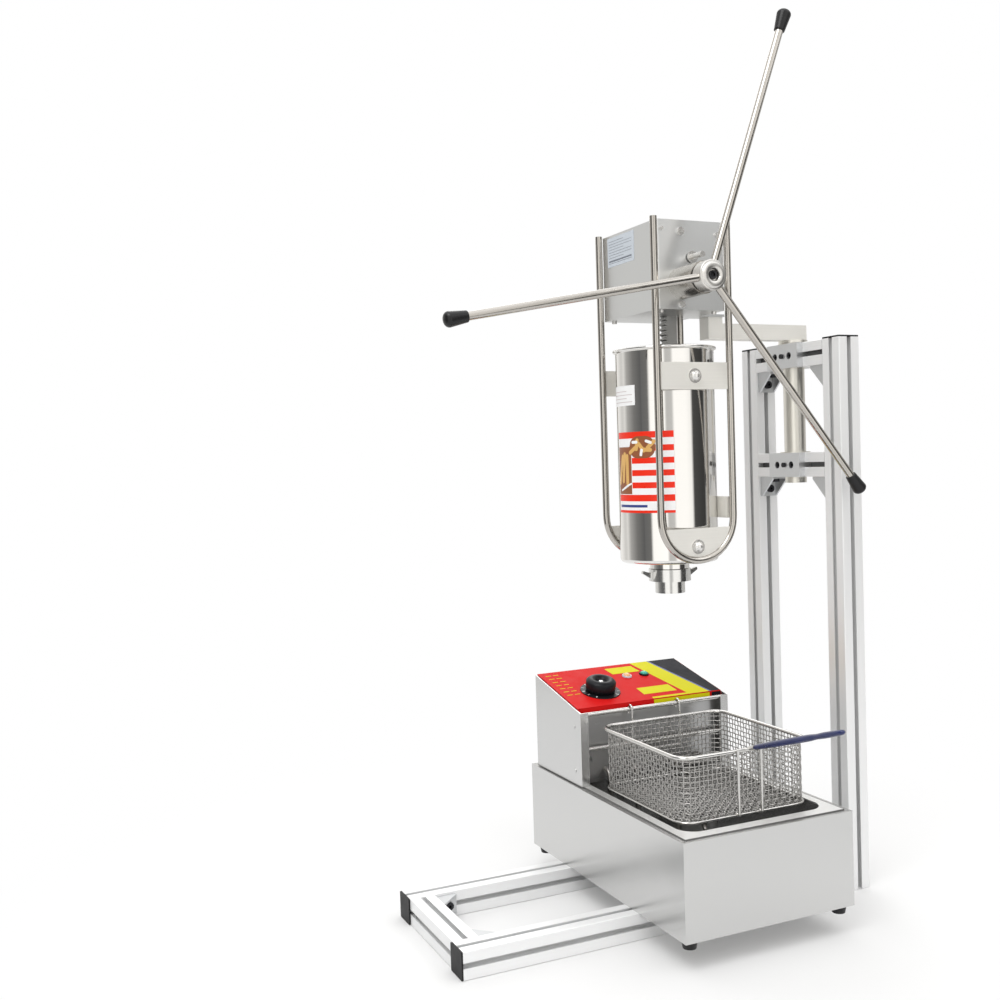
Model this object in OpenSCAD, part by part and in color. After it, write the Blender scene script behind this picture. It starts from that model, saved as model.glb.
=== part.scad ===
/* [Stand] */
// Side of the square aluminium profile
profile = 40; // [36:1:45]
// Depth of the stand, from the cut rail ends to the back of the uprights
base_len = 705; // [660:5:800]
// Clear gap between the two base rails
base_gap = 172; // [160:2:200]
// Height of the two uprights
upright_h = 880; // [840:10:960]
// Height of the lower cross-member's underside above the floor
lower_cross_z = 660; // [600:10:700]
// Width of the mouth of each profile slot
slot_w = 8; // [7:0.5:9]
// Thickness of the lip on each side of the slot's mouth
slot_lip = 2.5; // [2:0.5:4]
// Width of the slot behind its lips
slot_inner = 16; // [14:0.5:18]
// Depth of the slot
slot_depth = 11; // [10:0.5:12]
// Diameter of the bore along the profile's core
core_d = 7; // [5:0.5:8]
// Thickness of the plastic end caps
cap_t = 2.5; // [2:0.5:5]
// Length of each leg of the corner brackets
gusset_leg = 34; // [30:1:38]
// Thickness of the corner brackets' legs
gusset_t = 4; // [3:0.5:5]
// Width of the corner brackets
gusset_w = 32; // [26:1:34]
// Diameter of the bolts that hold the brackets
bolt_d = 6.6; // [5:0.2:6.8]

/* [Mast] */
// Outer diameter of the round mast
mast_d = 35; // [30:1:38]
// Wall of the mast
mast_wall = 3; // [2:0.5:5]
// Distance of the mast's axis in front of the uprights' centre line
mast_offset = 8; // [4:1:12]
// How far the mast reaches below the lower cross-member
mast_tail = 10; // [5:1:40]
// Width of the blocks that carry the mast
block_w = 78; // [70:2:100]
// How far the blocks stand proud of the cross-members
block_proud = 12; // [10:1:20]
// Wall of the bushes between the mast and the blocks
bush_wall = 3; // [2:0.5:4]
// Side of the square tube of the hanger arm
arm_side = 25; // [20:1:30]
// Wall of the hanger arm
arm_wall = 2; // [1.5:0.5:4]
// Gap between the uprights' caps and the hanger arm
arm_gap = 3.5; // [3:0.5:10]
// Height of the riser between the hanger arm and the gearbox
riser_h = 10; // [6:1:30]

/* [Gearbox] */
// Distance of the cylinder's axis in front of the uprights' centre line
ext_reach = 261; // [240:1:300]
// Width of the gearbox
gear_w = 119; // [114:1:124]
// Depth of the gearbox, front to back
gear_d = 164; // [160:1:168]
// Height of the gearbox with its base plate and cover
gear_h = 134; // [126:1:160]
// Thickness of the gearbox sheet
gear_wall = 2.5; // [1.5:0.5:4]
// Thickness of the gearbox base plate
base_t = 4; // [3:0.5:8]
// Height of the crank shaft above the gearbox's underside
shaft_rise = 39; // [34:1:50]
// Number of teeth on the pinion
pinion_teeth = 14; // [14:1:15]
// Module of the pinion and the rack
gear_module = 2.5; // [2.5:0.05:2.6]
// Width of the pinion's and the rack's teeth
tooth_w = 18; // [12:1:24]
// Backlash between the pinion and the rack
backlash = 0.3; // [0.2:0.05:0.5]
// Diameter of the crank shaft
shaft_d = 20; // [16:1:22]
// Outer diameter of the shaft's boss
boss_d = 48; // [42:1:52]
// Length of the boss in front of the gearbox
boss_len = 60; // [50:1:80]
// Diameter of the hub that holds the arms
hub_d = 45; // [40:1:50]
// Length of the hub
hub_len = 24; // [20:1:30]
// Distance from the shaft's axis to the tip of each grip
arm_reach = 422; // [380:2:430]
// Diameter of the crank arms
crank_rod_d = 12; // [9:0.5:13]
// Angle of the first crank arm above the horizontal
crank_phase = 70; // [0:1:120]
// Length of the grips
grip_len = 34; // [26:1:60]
// Diameter of the grips at their tips
grip_d = 22.5; // [17:0.5:24]

/* [Cylinder] */
// Outer diameter of the dough cylinder
cyl_d = 154; // [150:1:158]
// Height of the cylinder
cyl_h = 335; // [325:5:345]
// Wall of the cylinder
cyl_wall = 2; // [1.5:0.5:3]
// Gap between the gearbox and the cylinder's rim
cyl_gap = 51; // [48:1:70]
// Diameter of the rolled rim's bead
rim_bead = 4.5; // [3:0.5:6]
// Height of the piston above the cylinder's floor, as shown
piston_rest = 18; // [17:1:30]
// Thickness of the piston
piston_t = 18; // [14:1:24]
// Diameter of the rods of the two carrying loops
rod_d = 11; // [8:0.5:12]
// Height of the loops' bottom curve's centre above the cylinder's underside
loop_rise = 71; // [66:1:90]
// Height of the upper straps
strap_h = 41; // [30:1:60]
// Distance of the upper straps below the cylinder's rim
strap_drop = 28; // [20:1:60]
// Thickness of the straps and plates
strap_t = 3; // [2:0.5:4]
// Outer diameter of the outlet's thread
neck_d = 59; // [56:1:60]
// Height of the outlet below the cylinder
neck_h = 27; // [24:1:34]
// Outer diameter of the ring nut
nut_d = 66; // [65:1:76]
// Height of the ring nut
nut_h = 19; // [16:1:22]
// Height of the red label
label_h = 125; // [80:1:160]
// Height of the red label's foot above the cylinder's bottom
label_rise = 80; // [40:1:110]
// Height of the small label
small_label_h = 31; // [15:1:40]
// Height of the small label's foot above the cylinder's bottom
small_label_rise = 246; // [220:1:256]
// Outer diameter of the spout
spout_d = 47; // [44:1:50]
// Height of the spout below the ring nut
spout_h = 19; // [14:1:40]
// Number of points on the star die
star_points = 8; // [5:1:10]

/* [Fryer] */
// Width of the fryer
fryer_w = 290; // [280:2:310]
// Depth of the fryer, front to back
fryer_d = 470; // [462:2:500]
// Height of the fryer's housing
fryer_h = 139; // [130:1:150]
// Distance of the fryer's right side in front of the uprights' centre line
fryer_back = 120; // [110:2:160]
// How far the fryer reaches in front of the stand's middle plane
fryer_front = 250; // [240:2:280]
// Thickness of the fryer's sheet
sheet_t = 1.5; // [1:0.1:2]
// Width of the housing's turned-in top edge
lip_w = 12; // [8:1:16]
// Width of the tank's mouth
tank_w = 244; // [230:2:252]
// Depth of the housing behind the tank's mouth, under the control head
tank_back = 145; // [138:1:160]
// Height of the tank
tank_h = 120; // [110:1:126]
// Radius of the tank's corners
tank_r = 28; // [15:1:40]
// Distance from the housing's front to the tank's mouth
tank_inset = 28; // [24:1:34]
// Diameter of the fryer's feet
foot_d = 24; // [18:1:34]
// Height of the fryer's feet
foot_h = 12; // [8:1:20]
// Width of the control head
head_w = 280; // [264:2:284]
// Depth of the control head
head_d = 143; // [136:1:150]
// Height of the control head at its back
head_h = 154; // [140:1:170]
// Slope of the control panel
panel_slope = 13; // [6:0.5:18]
// How far the head's side plates reach in front of the panel
cheek_proud = 17; // [15:1:24]
// Diameter of the hang rail
rail_d = 7; // [5:0.5:8]
// Diameter of the heating element's tube
element_d = 8; // [6:0.5:9]
// Diameter of the thermostat knob
knob_d = 51; // [40:1:54]
// Height of the thermostat knob
knob_h = 22; // [14:1:26]

/* [Basket] */
// Width of the basket
basket_w = 220; // [190:2:222]
// Free depth of the tank's mouth in front of the basket
basket_room = 26; // [20:1:50]
// Height of the basket's mesh
basket_h = 100; // [80:1:104]
// Distance from the basket's back to the hang rail's axis
basket_hang = 23; // [18:1:32]
// Drop of the basket's rim below the hang rail's axis
rim_drop = 14; // [12:1:30]
// Gaps along each long edge of the mesh
mesh_cells = 12; // [8:1:14]
// Gaps up each side of the mesh
mesh_rows = 5; // [4:1:7]
// Thickness of the mesh wires
mesh_wire = 1.8; // [1.4:0.1:2.4]
// Diameter of the rim wire
rim_wire = 6; // [5:0.5:7]
// Length of the basket's blue grip
handle_len = 200; // [150:5:220]
// Upward slope of the basket's handle
handle_slope = 18; // [10:1:30]
// Diameter of the blue grip
handle_d = 13; // [10:0.5:16]

/* [Hidden] */
$fn = 64;

// Clearances
run_fit = 0.05;   // running fit, on the radius
seat = 0.3;       // between a piece and the seat that it rests against
slide_gap = 0.5;  // round a piece that slides through a plate

// Stand
half = profile / 2;
rail_y = base_gap / 2 + half;
rail_x0 = half - base_len;
rail_len = base_len - profile;
upper_cross_z = upright_h - profile;
mast_x = -mast_offset;
mast_r = mast_d / 2;
bush_r = mast_r + run_fit + bush_wall;
flange_h = 1.5;
collar_r = bush_r + 4;
bolt_head_d = bolt_d * 2;
bolt_head_h = bolt_d * 0.8;
bolt_at = gusset_leg * 0.62;
bolt_grip = slot_depth - 2;

// Hanger arm and gearbox
arm_z = upright_h + cap_t + arm_gap;
plate_z = arm_z + arm_side + riser_h;
ext_x = -ext_reach;
gear_x0 = ext_x - gear_w / 2;
gear_x1 = ext_x + gear_w / 2;
loop_half = gear_w / 2 + rod_d / 2 + seat;
arm_x0 = ext_x + loop_half + rod_d / 2 + 6;
riser_len = arm_side + 2;
gear_top = plate_z + gear_h;
face_y = -gear_d / 2;

// Pinion, rack and crank
pitch_r = gear_module * pinion_teeth / 2;
addendum = gear_module * 0.8;
dedendum = gear_module;
pressure = 20;
rack_pitch = PI * gear_module;
shaft_x = ext_x - 18;
shaft_z = plate_z + shaft_rise;
rack_x = shaft_x + pitch_r;
rack_thick = 20;
boss_end = face_y - boss_len;
hub_gap = 2;
hub_end = boss_end - hub_gap - hub_len;
crank_y = boss_end - hub_gap - hub_len * 0.55;
bush_len = 14;
shaft_bush_r = shaft_d / 2 + 4;
guide_x = rack_x + rack_thick + 12;
guide_d = 10;
travel_up = cyl_h - 3 - piston_rest + 5;
travel_down = 15;

// Cylinder and the two loops that carry it
loop_y = cyl_d / 2 + rod_d / 2 + seat;
cyl_top = plate_z - cyl_gap;
cyl_z = cyl_top - cyl_h;
cyl_r = cyl_d / 2;
floor_t = 3;
floor_z = cyl_z + floor_t;
piston_z = floor_z + piston_rest;
piston_top = piston_z + piston_t;
rod_top = gear_top - 10;
loop_z = cyl_z + loop_rise;
neck_r = neck_d / 2;
nut_top = cyl_z - 12;
nut_z = nut_top - nut_h;
spout_z = nut_z - spout_h;
spout_r = spout_d / 2;
spout_wall = 4;
spout_flange = 2;
die_t = 4;
strap_z = cyl_top - strap_drop - strap_h;
moon_top = loop_z - 16;
moon_r = loop_half - rod_d / 2 - seat;

// Fryer, resting on the two base rails
fry_x1 = -fryer_back;
fry_x0 = fry_x1 - fryer_w;
fry_cx = fry_x1 - fryer_w / 2;
fry_y0 = -fryer_front;
fry_y1 = fry_y0 + fryer_d;
fry_z = profile;
fry_top = fry_z + fryer_h;
flange_z = fry_top + sheet_t;
tank_d = fryer_d - tank_inset - tank_back;
tank_y0 = fry_y0 + tank_inset;
tank_y1 = tank_y0 + tank_d;
tank_z = flange_z - tank_h;
head_z = flange_z;
head_y1 = fry_y1 - 15;
head_y0 = head_y1 - head_d;
cheek_y0 = head_y0 - cheek_proud;
head_x0 = fry_cx - head_w / 2;
head_x1 = fry_cx + head_w / 2;
panel_front_z = head_z + head_h - head_d * tan(panel_slope);
hang_y = cheek_y0 + 7;
hang_z = panel_front_z - 8;
rest_z = hang_z - 56;
element_z = tank_z + sheet_t + 12;
screen_z = element_z + element_d / 2 + seat;
knob_x = head_x0 + 74;
knob_v = 52;
lamp_d = 13;
flange_inset = 8;

// Basket, hanging from the hang rail
bas_y1 = hang_y - basket_hang;
bas_y0 = tank_y0 + basket_room;
basket_d = bas_y1 - bas_y0;
bas_x0 = fry_cx - basket_w / 2;
bas_x1 = fry_cx + basket_w / 2;
rim_z = hang_z - rim_drop;
bas_z = rim_z - basket_h;
hook_x = 45;
hook_wire = 4;
handle_half = 20;
rim_off = rim_wire / 2 + run_fit;
handle_y = bas_y0 - rim_off - rim_wire / 2 - seat - hook_wire / 2;

// ---- Shared shapes ----

// A rectangle with round corners, centred
module rounded(w, d, r) {
    square([w - 2 * r, d], center = true);
    square([w, d - 2 * r], center = true);
    for (sx = [-1, 1], sy = [-1, 1])
        translate([sx * (w / 2 - r), sy * (d / 2 - r)]) circle(r);
}

// One slot of the profile, cut from its upper face
module slot_cut() {
    floor_y = half - slot_depth;
    wall_y = half - slot_lip - (slot_depth - slot_lip) * 0.4;
    polygon([
        [-slot_w / 2, half + 1], [slot_w / 2, half + 1],
        [slot_w / 2, half - slot_lip], [slot_inner / 2, half - slot_lip],
        [slot_inner / 2, wall_y], [slot_w / 2, floor_y],
        [-slot_w / 2, floor_y], [-slot_inner / 2, wall_y],
        [-slot_inner / 2, half - slot_lip], [-slot_w / 2, half - slot_lip],
    ]);
}

module profile_section() {
    difference() {
        rounded(profile, profile, 1.5);
        for (a = [0:90:270]) rotate(a) slot_cut();
        circle(d = core_d);
    }
}

// Lengths of profile that run along each axis from the origin
module profile_x(len) rotate([90, 0, 90]) linear_extrude(len) profile_section();
module profile_y(len) rotate([-90, 0, 0]) linear_extrude(len) profile_section();
module profile_z(len) linear_extrude(len) profile_section();

// A corner bracket whose legs lie along +X and +Z, with a rib at each side
module gusset() {
    difference() {
        union() {
            translate([0, -gusset_w / 2, 0]) cube([gusset_leg, gusset_w, gusset_t]);
            translate([0, -gusset_w / 2, 0]) cube([gusset_t, gusset_w, gusset_leg]);
            for (y = [-gusset_w / 2, gusset_w / 2 - 3])
                translate([0, y + 3, 0]) rotate([90, 0, 0]) linear_extrude(3)
                    polygon([[0, 0], [gusset_leg, 0], [gusset_leg, gusset_t],
                        [gusset_t, gusset_leg], [0, gusset_leg]]);
        }
        translate([bolt_at, 0, -1]) cylinder(d = bolt_d + 0.6, h = gusset_t + 2);
        translate([-1, 0, bolt_at]) rotate([0, 90, 0]) cylinder(d = bolt_d + 0.6, h = gusset_t + 2);
    }
}

// A socket bolt that stands on a bracket's leg and reaches into the slot
module bracket_bolt() {
    translate([0, 0, gusset_t]) difference() {
        cylinder(d = bolt_head_d, h = bolt_head_h);
        translate([0, 0, bolt_head_h - 3]) cylinder(d = bolt_d * 0.9, h = 4, $fn = 6);
    }
    translate([0, 0, -bolt_grip]) cylinder(d = bolt_d, h = bolt_grip + gusset_t);
}

module gusset_bolts() {
    translate([bolt_at, 0, 0]) bracket_bolt();
    translate([0, 0, bolt_at]) rotate([0, 90, 0]) bracket_bolt();
}

// Puts its child in each of the eight corners of the stand
module at_corners() {
    for (s = [-1, 1]) {
        // Front cross-member and rails
        translate([rail_x0 + profile, s * base_gap / 2, half]) rotate([s * 90, 0, 0]) children();
        // Rear cross-member and rails
        translate([-half, s * base_gap / 2, half]) mirror([1, 0, 0]) rotate([s * 90, 0, 0]) children();
        // Undersides of the two upper cross-members and uprights
        for (z = [upper_cross_z, lower_cross_z])
            translate([0, s * base_gap / 2, z]) rotate([0, 180, s * 90]) children();
    }
}

// A block that carries the mast between two lengths of cross-member
module mast_block(z) {
    front = half + block_proud;
    translate([0, 0, z]) difference() {
        translate([-front, -block_w / 2, 0]) cube([front + half, block_w, profile]);
        translate([mast_x, 0, -1]) cylinder(r = bush_r, h = profile + 2);
        for (s = [-1, 1]) translate([-front - 1, s * 18, half]) rotate([0, 90, 0])
            cylinder(d = 11.5, h = 8);
    }
}

// Cross-member in two lengths, one on each side of the mast block
module split_cross_member(z) {
    len = (base_gap - block_w) / 2;
    for (s = [-1, 1])
        translate([0, s > 0 ? block_w / 2 : -base_gap / 2, z + half]) profile_y(len);
}

// A torus sector about Z
module bend(radius, wire, angle) {
    rotate_extrude(angle = angle) translate([radius, 0]) circle(d = wire, $fn = 32);
}

// A round rod between two points that differ along one axis only
module rod_x(from, len, d) translate(from) rotate([0, 90, 0]) cylinder(d = d, h = len, $fn = 32);
module rod_y(from, len, d) translate(from) rotate([-90, 0, 0]) cylinder(d = d, h = len, $fn = 32);
module rod_z(from, len, d) translate(from) cylinder(d = d, h = len, $fn = 32);

// ---- Stand ----

module rail_near() color("#c9ccd0") translate([rail_x0, -rail_y, half]) profile_x(rail_len);
module rail_far() color("#c9ccd0") translate([rail_x0, rail_y, half]) profile_x(rail_len);

module front_cross_member() color("#c9ccd0")
    translate([rail_x0 + half, -base_gap / 2, half]) profile_y(base_gap);

// The rear cross-member's underside carries the part's origin, so it has no slot there
module rear_cross_member() color("#c9ccd0")
    translate([0, -base_gap / 2, half]) rotate([-90, 0, 0]) linear_extrude(base_gap) difference() {
        rounded(profile, profile, 1.5);
        for (a = [0, 90, 270]) rotate(a + 180) slot_cut();
        circle(d = core_d);
    }

module upright_near() color("#c9ccd0") translate([0, -rail_y, 0]) profile_z(upright_h);
module upright_far() color("#c9ccd0") translate([0, rail_y, 0]) profile_z(upright_h);
module upper_cross_member() color("#c9ccd0") split_cross_member(upper_cross_z);
module lower_cross_member() color("#c9ccd0") split_cross_member(lower_cross_z);
module upper_mast_block() color("#b9bcc0") mast_block(upper_cross_z);
module lower_mast_block() color("#b9bcc0") mast_block(lower_cross_z);

module mast_bushes() color("#d8c9a0") {
    for (z = [upper_cross_z, lower_cross_z]) translate([mast_x, 0, z]) difference() {
        union() {
            cylinder(r = bush_r - run_fit, h = profile);
            translate([0, 0, profile]) cylinder(r = collar_r, h = flange_h);
        }
        translate([0, 0, -1]) cylinder(r = mast_r + run_fit, h = profile + flange_h + 2);
    }
}

module corner_brackets() color("#a5a8ab") at_corners() gusset();
module bracket_bolts() color("#222222") {
    at_corners() gusset_bolts();
    // Screws of the two mast blocks
    for (z = [upper_cross_z, lower_cross_z], s = [-1, 1])
        translate([-half - block_proud + 2, s * 18, z + half]) rotate([0, 90, 0]) difference() {
            cylinder(d = 11, h = 5);
            translate([0, 0, -1]) cylinder(d = 5.5, h = 4, $fn = 6);
        }
    // Clamp screws in front of the mast
    for (z = [upper_cross_z, lower_cross_z])
        translate([-half - block_proud - 3, 0, z + half]) rotate([0, 90, 0]) cylinder(d = 8, h = 3);
}

module end_caps() color("#1b1b1b") {
    for (s = [-1, 1]) {
        translate([rail_x0 - cap_t, s * rail_y, half]) rotate([90, 0, 90])
            linear_extrude(cap_t) rounded(profile, profile, 2);
        translate([0, s * rail_y, upright_h]) linear_extrude(cap_t) rounded(profile, profile, 2);
    }
}

// ---- Mast and gearbox ----

module mast_tube() color("#bdb8a8") translate([mast_x, 0, 0]) {
    difference() {
        union() {
            translate([0, 0, lower_cross_z - mast_tail])
                cylinder(r = mast_r, h = arm_z - lower_cross_z + mast_tail);
            // Collar that carries the mast on the upper bush's flange
            translate([0, 0, upright_h + flange_h + seat])
                cylinder(r = collar_r - 1, h = arm_z - upright_h - flange_h - seat);
        }
        translate([0, 0, lower_cross_z - mast_tail - 1])
            cylinder(r = mast_r - mast_wall, h = arm_z - lower_cross_z + mast_tail - 4);
    }
}

module hanger_arm() color("#cfcdc2") {
    arm_x1 = mast_x + mast_r + 1;
    difference() {
        translate([arm_x0, -arm_side / 2, arm_z]) cube([arm_x1 - arm_x0, arm_side, arm_side]);
        translate([arm_x0 + arm_wall, -arm_side / 2 + arm_wall, arm_z + arm_wall])
            cube([arm_x1 - arm_x0, arm_side - 2 * arm_wall, arm_side - 2 * arm_wall]);
    }
    translate([arm_x0, -arm_side / 2, arm_z + arm_side]) cube([riser_len, arm_side, riser_h]);
}

// Holes that the rack and the guide rod slide through
module slide_holes(z, t) {
    translate([rack_x - addendum - slide_gap, -tooth_w / 2 - slide_gap, z - 1])
        cube([rack_thick + addendum + 2 * slide_gap, tooth_w + 2 * slide_gap, t + 2]);
    translate([guide_x, 0, z - 1]) cylinder(d = guide_d + 2 * run_fit, h = t + 2);
}

module gearbox_base_plate() color("#c8c8c4") {
    difference() {
        union() {
            translate([ext_x, 0, plate_z]) linear_extrude(base_t) rounded(gear_w, gear_d, 3);
            translate([gear_x1 - 5, -arm_side / 2 - 3, plate_z])
                cube([arm_x0 + riser_len + 2 - gear_x1 + 5, arm_side + 6, base_t]);
        }
        slide_holes(plate_z, base_t);
    }
}

module gearbox_housing() color("#bfc1c2") {
    z = plate_z + base_t;
    h = gear_h - base_t - gear_wall;
    difference() {
        translate([ext_x, 0, z]) linear_extrude(h) difference() {
            rounded(gear_w, gear_d, 3);
            rounded(gear_w - 2 * gear_wall, gear_d - 2 * gear_wall, 1.5);
        }
        // Shaft and release pin
        translate([shaft_x, face_y - 1, shaft_z]) rotate([-90, 0, 0])
            cylinder(r = shaft_bush_r, h = gear_wall + 2);
        translate([ext_x + 1, face_y - 1, shaft_z + 40]) rotate([-90, 0, 0])
            cylinder(d = 9 + 2 * run_fit, h = gear_wall + 2);
    }
}

module gearbox_cover() color("#c8c8c4") {
    z = gear_top - gear_wall;
    difference() {
        translate([ext_x, 0, z]) linear_extrude(gear_wall) rounded(gear_w, gear_d, 3);
        slide_holes(z, gear_wall);
    }
}

module shaft_boss() color("#d6d6d2") {
    back_y = gear_d / 2 - gear_wall;
    // Front boss
    translate([shaft_x, boss_end, shaft_z]) rotate([-90, 0, 0]) difference() {
        cylinder(d = boss_d, h = boss_len);
        translate([0, 0, -1]) cylinder(r = shaft_bush_r, h = boss_len + 2);
    }
    // Rear boss inside the gearbox
    translate([shaft_x, back_y - 18, shaft_z]) rotate([-90, 0, 0]) difference() {
        cylinder(d = boss_d - 10, h = 18);
        translate([0, 0, -1]) cylinder(r = shaft_bush_r, h = bush_len + 1);
    }
}

module shaft_bushes() color("#c79a4a") {
    back_y = gear_d / 2 - gear_wall;
    for (y = [boss_end, face_y - bush_len, back_y - 18])
        translate([shaft_x, y, shaft_z]) rotate([-90, 0, 0]) difference() {
            cylinder(r = shaft_bush_r - run_fit, h = bush_len);
            translate([0, 0, -1]) cylinder(d = shaft_d + 2 * run_fit, h = bush_len + 2);
        }
}

// One U-shaped rod that carries the cylinder, in the plane y
module frame_loop(y) {
    for (s = [-1, 1])
        rod_z([ext_x + s * loop_half, y, loop_z], gear_top + 3 - loop_z, rod_d);
    translate([ext_x, y, loop_z]) rotate([90, 0, 0]) rotate([0, 0, 180]) bend(loop_half, rod_d, 180);
}

module frame_loop_near() color("#dcdcda") frame_loop(-loop_y);
module frame_loop_far() color("#dcdcda") frame_loop(loop_y);

module strap_plates() color("#d0cfc6") {
    w = 2 * (loop_half - rod_d / 2 - seat);
    for (s = [-1, 1]) translate([ext_x, s * loop_y, strap_z]) difference() {
        translate([-w / 2, -strap_t / 2, 0]) cube([w, strap_t, strap_h]);
        translate([0, strap_t, strap_h / 2]) rotate([90, 0, 0]) cylinder(d = 8.4, h = 2 * strap_t);
    }
}

module half_moon_plates() color("#d4d3cb") {
    for (s = [-1, 1])
        translate([ext_x, s * loop_y + strap_t / 2, loop_z]) rotate([90, 0, 0]) linear_extrude(strap_t)
            difference() {
                circle(moon_r, $fn = 96);
                translate([-moon_r - 1, moon_top - loop_z]) square([2 * moon_r + 2, 2 * moon_r]);
                translate([-2, moon_top - loop_z - 28]) circle(d = 8.4);
            }
}

// Bent clip round the cylinder's right side, carried by the loops' right rods
module side_clip() color("#c2bfb2") {
    r0 = cyl_r + seat;
    reach = loop_y - rod_d / 2 - seat;
    translate([ext_x, 0, cyl_z + 68]) linear_extrude(33) {
        difference() {
            circle(r0 + 2, $fn = 96);
            circle(r0, $fn = 96);
            translate([-2 * cyl_r, -2 * cyl_r]) square([2 * cyl_r + r0 * 0.75, 4 * cyl_r]);
        }
        for (s = [-1, 1]) {
            y0 = sqrt(pow(r0 + 1, 2) - pow(r0 * 0.75, 2));
            translate([r0 * 0.75, s > 0 ? y0 : -reach]) square([2, reach - y0]);
            translate([r0 * 0.75, s > 0 ? reach - 2 : -reach]) square([loop_half + 6 - r0 * 0.75, 2]);
        }
    }
}

// A domed bolt with its washer, whose head faces -Y
module domed_bolt(reach) {
    rotate([90, 0, 0]) {
        cylinder(d = 22, h = 1.5);
        translate([0, 0, 1.5]) cylinder(d = 15, h = 3);
        translate([0, 0, 4.5]) intersection() {
            translate([0, 0, -5]) sphere(d = 18);
            translate([0, 0, 0]) cylinder(d = 15, h = 6);
        }
    }
    rotate([-90, 0, 0]) cylinder(d = 8, h = reach);
}

module frame_bolts() color("#d9d9d6") {
    reach = loop_y + strap_t / 2 - cyl_r - seat;
    for (s = [0, 1]) mirror([0, s, 0]) {
        translate([ext_x, -loop_y - strap_t / 2, strap_z + strap_h / 2]) domed_bolt(reach);
        translate([ext_x - 2, -loop_y - strap_t / 2, moon_top - 28]) domed_bolt(reach);
    }
    // Screws of the gearbox front
    for (p = [[-18, gear_h - 17, 12], [-18, 8, 10], [-52, gear_h - 14, 6], [46, gear_h - 19, 6]])
        translate([ext_x + p[0], face_y, plate_z + p[1]]) rotate([90, 0, 0]) cylinder(d = p[2], h = 3);
    // Domed nuts under the base plate
    for (sx = [-1, 1], sy = [-1, 1])
        translate([ext_x + sx * (gear_w / 2 - 12), sy * (gear_d / 2 - 12), plate_z - 4])
            cylinder(d = 8, h = 4);
}

module rating_plate() color("#cfd6dd")
    translate([gear_x0 - 0.6, -16, plate_z + 84]) cube([0.6, 80, 46]);

module cylinder_wall() {
    in_r = cyl_r - cyl_wall;
    edge = 7;
    steps = 6;
    edge_pts = [for (i = [0:steps]) let (a = 90 * i / steps)
        [cyl_r - edge + edge * sin(a), cyl_z + edge - edge * cos(a)]];
    rotate_extrude($fn = 96) {
        polygon(concat(
            [[neck_r - 4, cyl_z - neck_h], [neck_r, cyl_z - neck_h], [neck_r, cyl_z - 11],
                [neck_r + 1.5, cyl_z - 11], [neck_r + 1.5, cyl_z]],
            edge_pts,
            [[cyl_r, cyl_top], [in_r, cyl_top], [in_r, floor_z + 4], [in_r - 4, floor_z],
                [neck_r - 4, floor_z]]));
        translate([cyl_r + rim_bead / 2 - 0.4, cyl_top - rim_bead / 2]) circle(d = rim_bead, $fn = 24);
    }
}
module cylinder_body() color("#e4e4e2") translate([ext_x, 0, 0]) cylinder_wall();

// A thin label round the cylinder, from angle a over sweep degrees
module wrap_label(a, sweep, z, h) {
    translate([ext_x, 0, z]) rotate([0, 0, a]) rotate_extrude(angle = sweep, $fn = 96)
        translate([cyl_r + 0.05, 0]) square([0.3, h]);
}

module cylinder_labels() color("#d8352a") {
    wrap_label(166, 80, cyl_z + label_rise, label_h);
    wrap_label(152, 49, cyl_z + small_label_rise, small_label_h);
}

module spout() color("#dededc") translate([ext_x, 0, 0]) {
    top = cyl_z - neck_h - run_fit;
    difference() {
        union() {
            translate([0, 0, spout_z]) cylinder(r = spout_r, h = top - spout_z);
            translate([0, 0, nut_z - 1]) cylinder(r = spout_r + seat, h = top - nut_z + 1);
            translate([0, 0, top - spout_flange]) cylinder(r = neck_r - 1, h = spout_flange);
        }
        translate([0, 0, spout_z + 1.5]) cylinder(r = spout_r - spout_wall, h = top - spout_z);
        translate([0, 0, spout_z - 1]) cylinder(r = spout_r - spout_wall - 2, h = 4);
    }
}

module star_die() color("#b7b7b5") translate([ext_x, 0, spout_z + 1.5]) linear_extrude(die_t)
    difference() {
        circle(spout_r - spout_wall - run_fit);
        circle(4);
        for (i = [0:star_points - 1]) rotate(i * 360 / star_points) translate([0, -1.1]) square([10, 2.2]);
    }

module ring_nut() color("#dadad8") translate([ext_x, 0, nut_z]) {
    flange_top = cyl_z - neck_h - run_fit - nut_z;
    difference() {
        cylinder(d = nut_d, h = nut_h);
        translate([0, 0, flange_top - spout_flange - run_fit])
            cylinder(r = neck_r + run_fit, h = nut_h + 1);
        translate([0, 0, -1]) cylinder(r = spout_r + seat + run_fit, h = nut_h + 2);
    }
    // Two wings
    for (s = [0, 180]) rotate([90, 0, s + 2]) translate([0, 0, -2.5]) linear_extrude(5)
        polygon([[nut_d / 2 - 2, 2], [nut_d / 2 + 4, 5], [nut_d / 2 + 19, 14],
            [nut_d / 2 + 18, 18], [nut_d / 2 + 8, 15], [nut_d / 2 - 2, 15]]);
}

// ---- Crank ----

module crank_shaft() color("#bcbcba") {
    back = gear_d / 2 - gear_wall - 5;
    translate([shaft_x, hub_end + 6, shaft_z]) rotate([-90, 0, 0])
        cylinder(d = shaft_d, h = back - hub_end - 6);
}

// Points of one flank of an involute tooth, from the root to the tip
function involute_angle(r, rb) = let (t = sqrt(max(pow(r / rb, 2) - 1, 0))) (t * 180 / PI - atan(t));
function tooth_half_angle(r, rb) =
    (90 / pinion_teeth) - (backlash / 4 / pitch_r) * 180 / PI
    + involute_angle(pitch_r, rb) - involute_angle(max(r, rb), rb);

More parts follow.
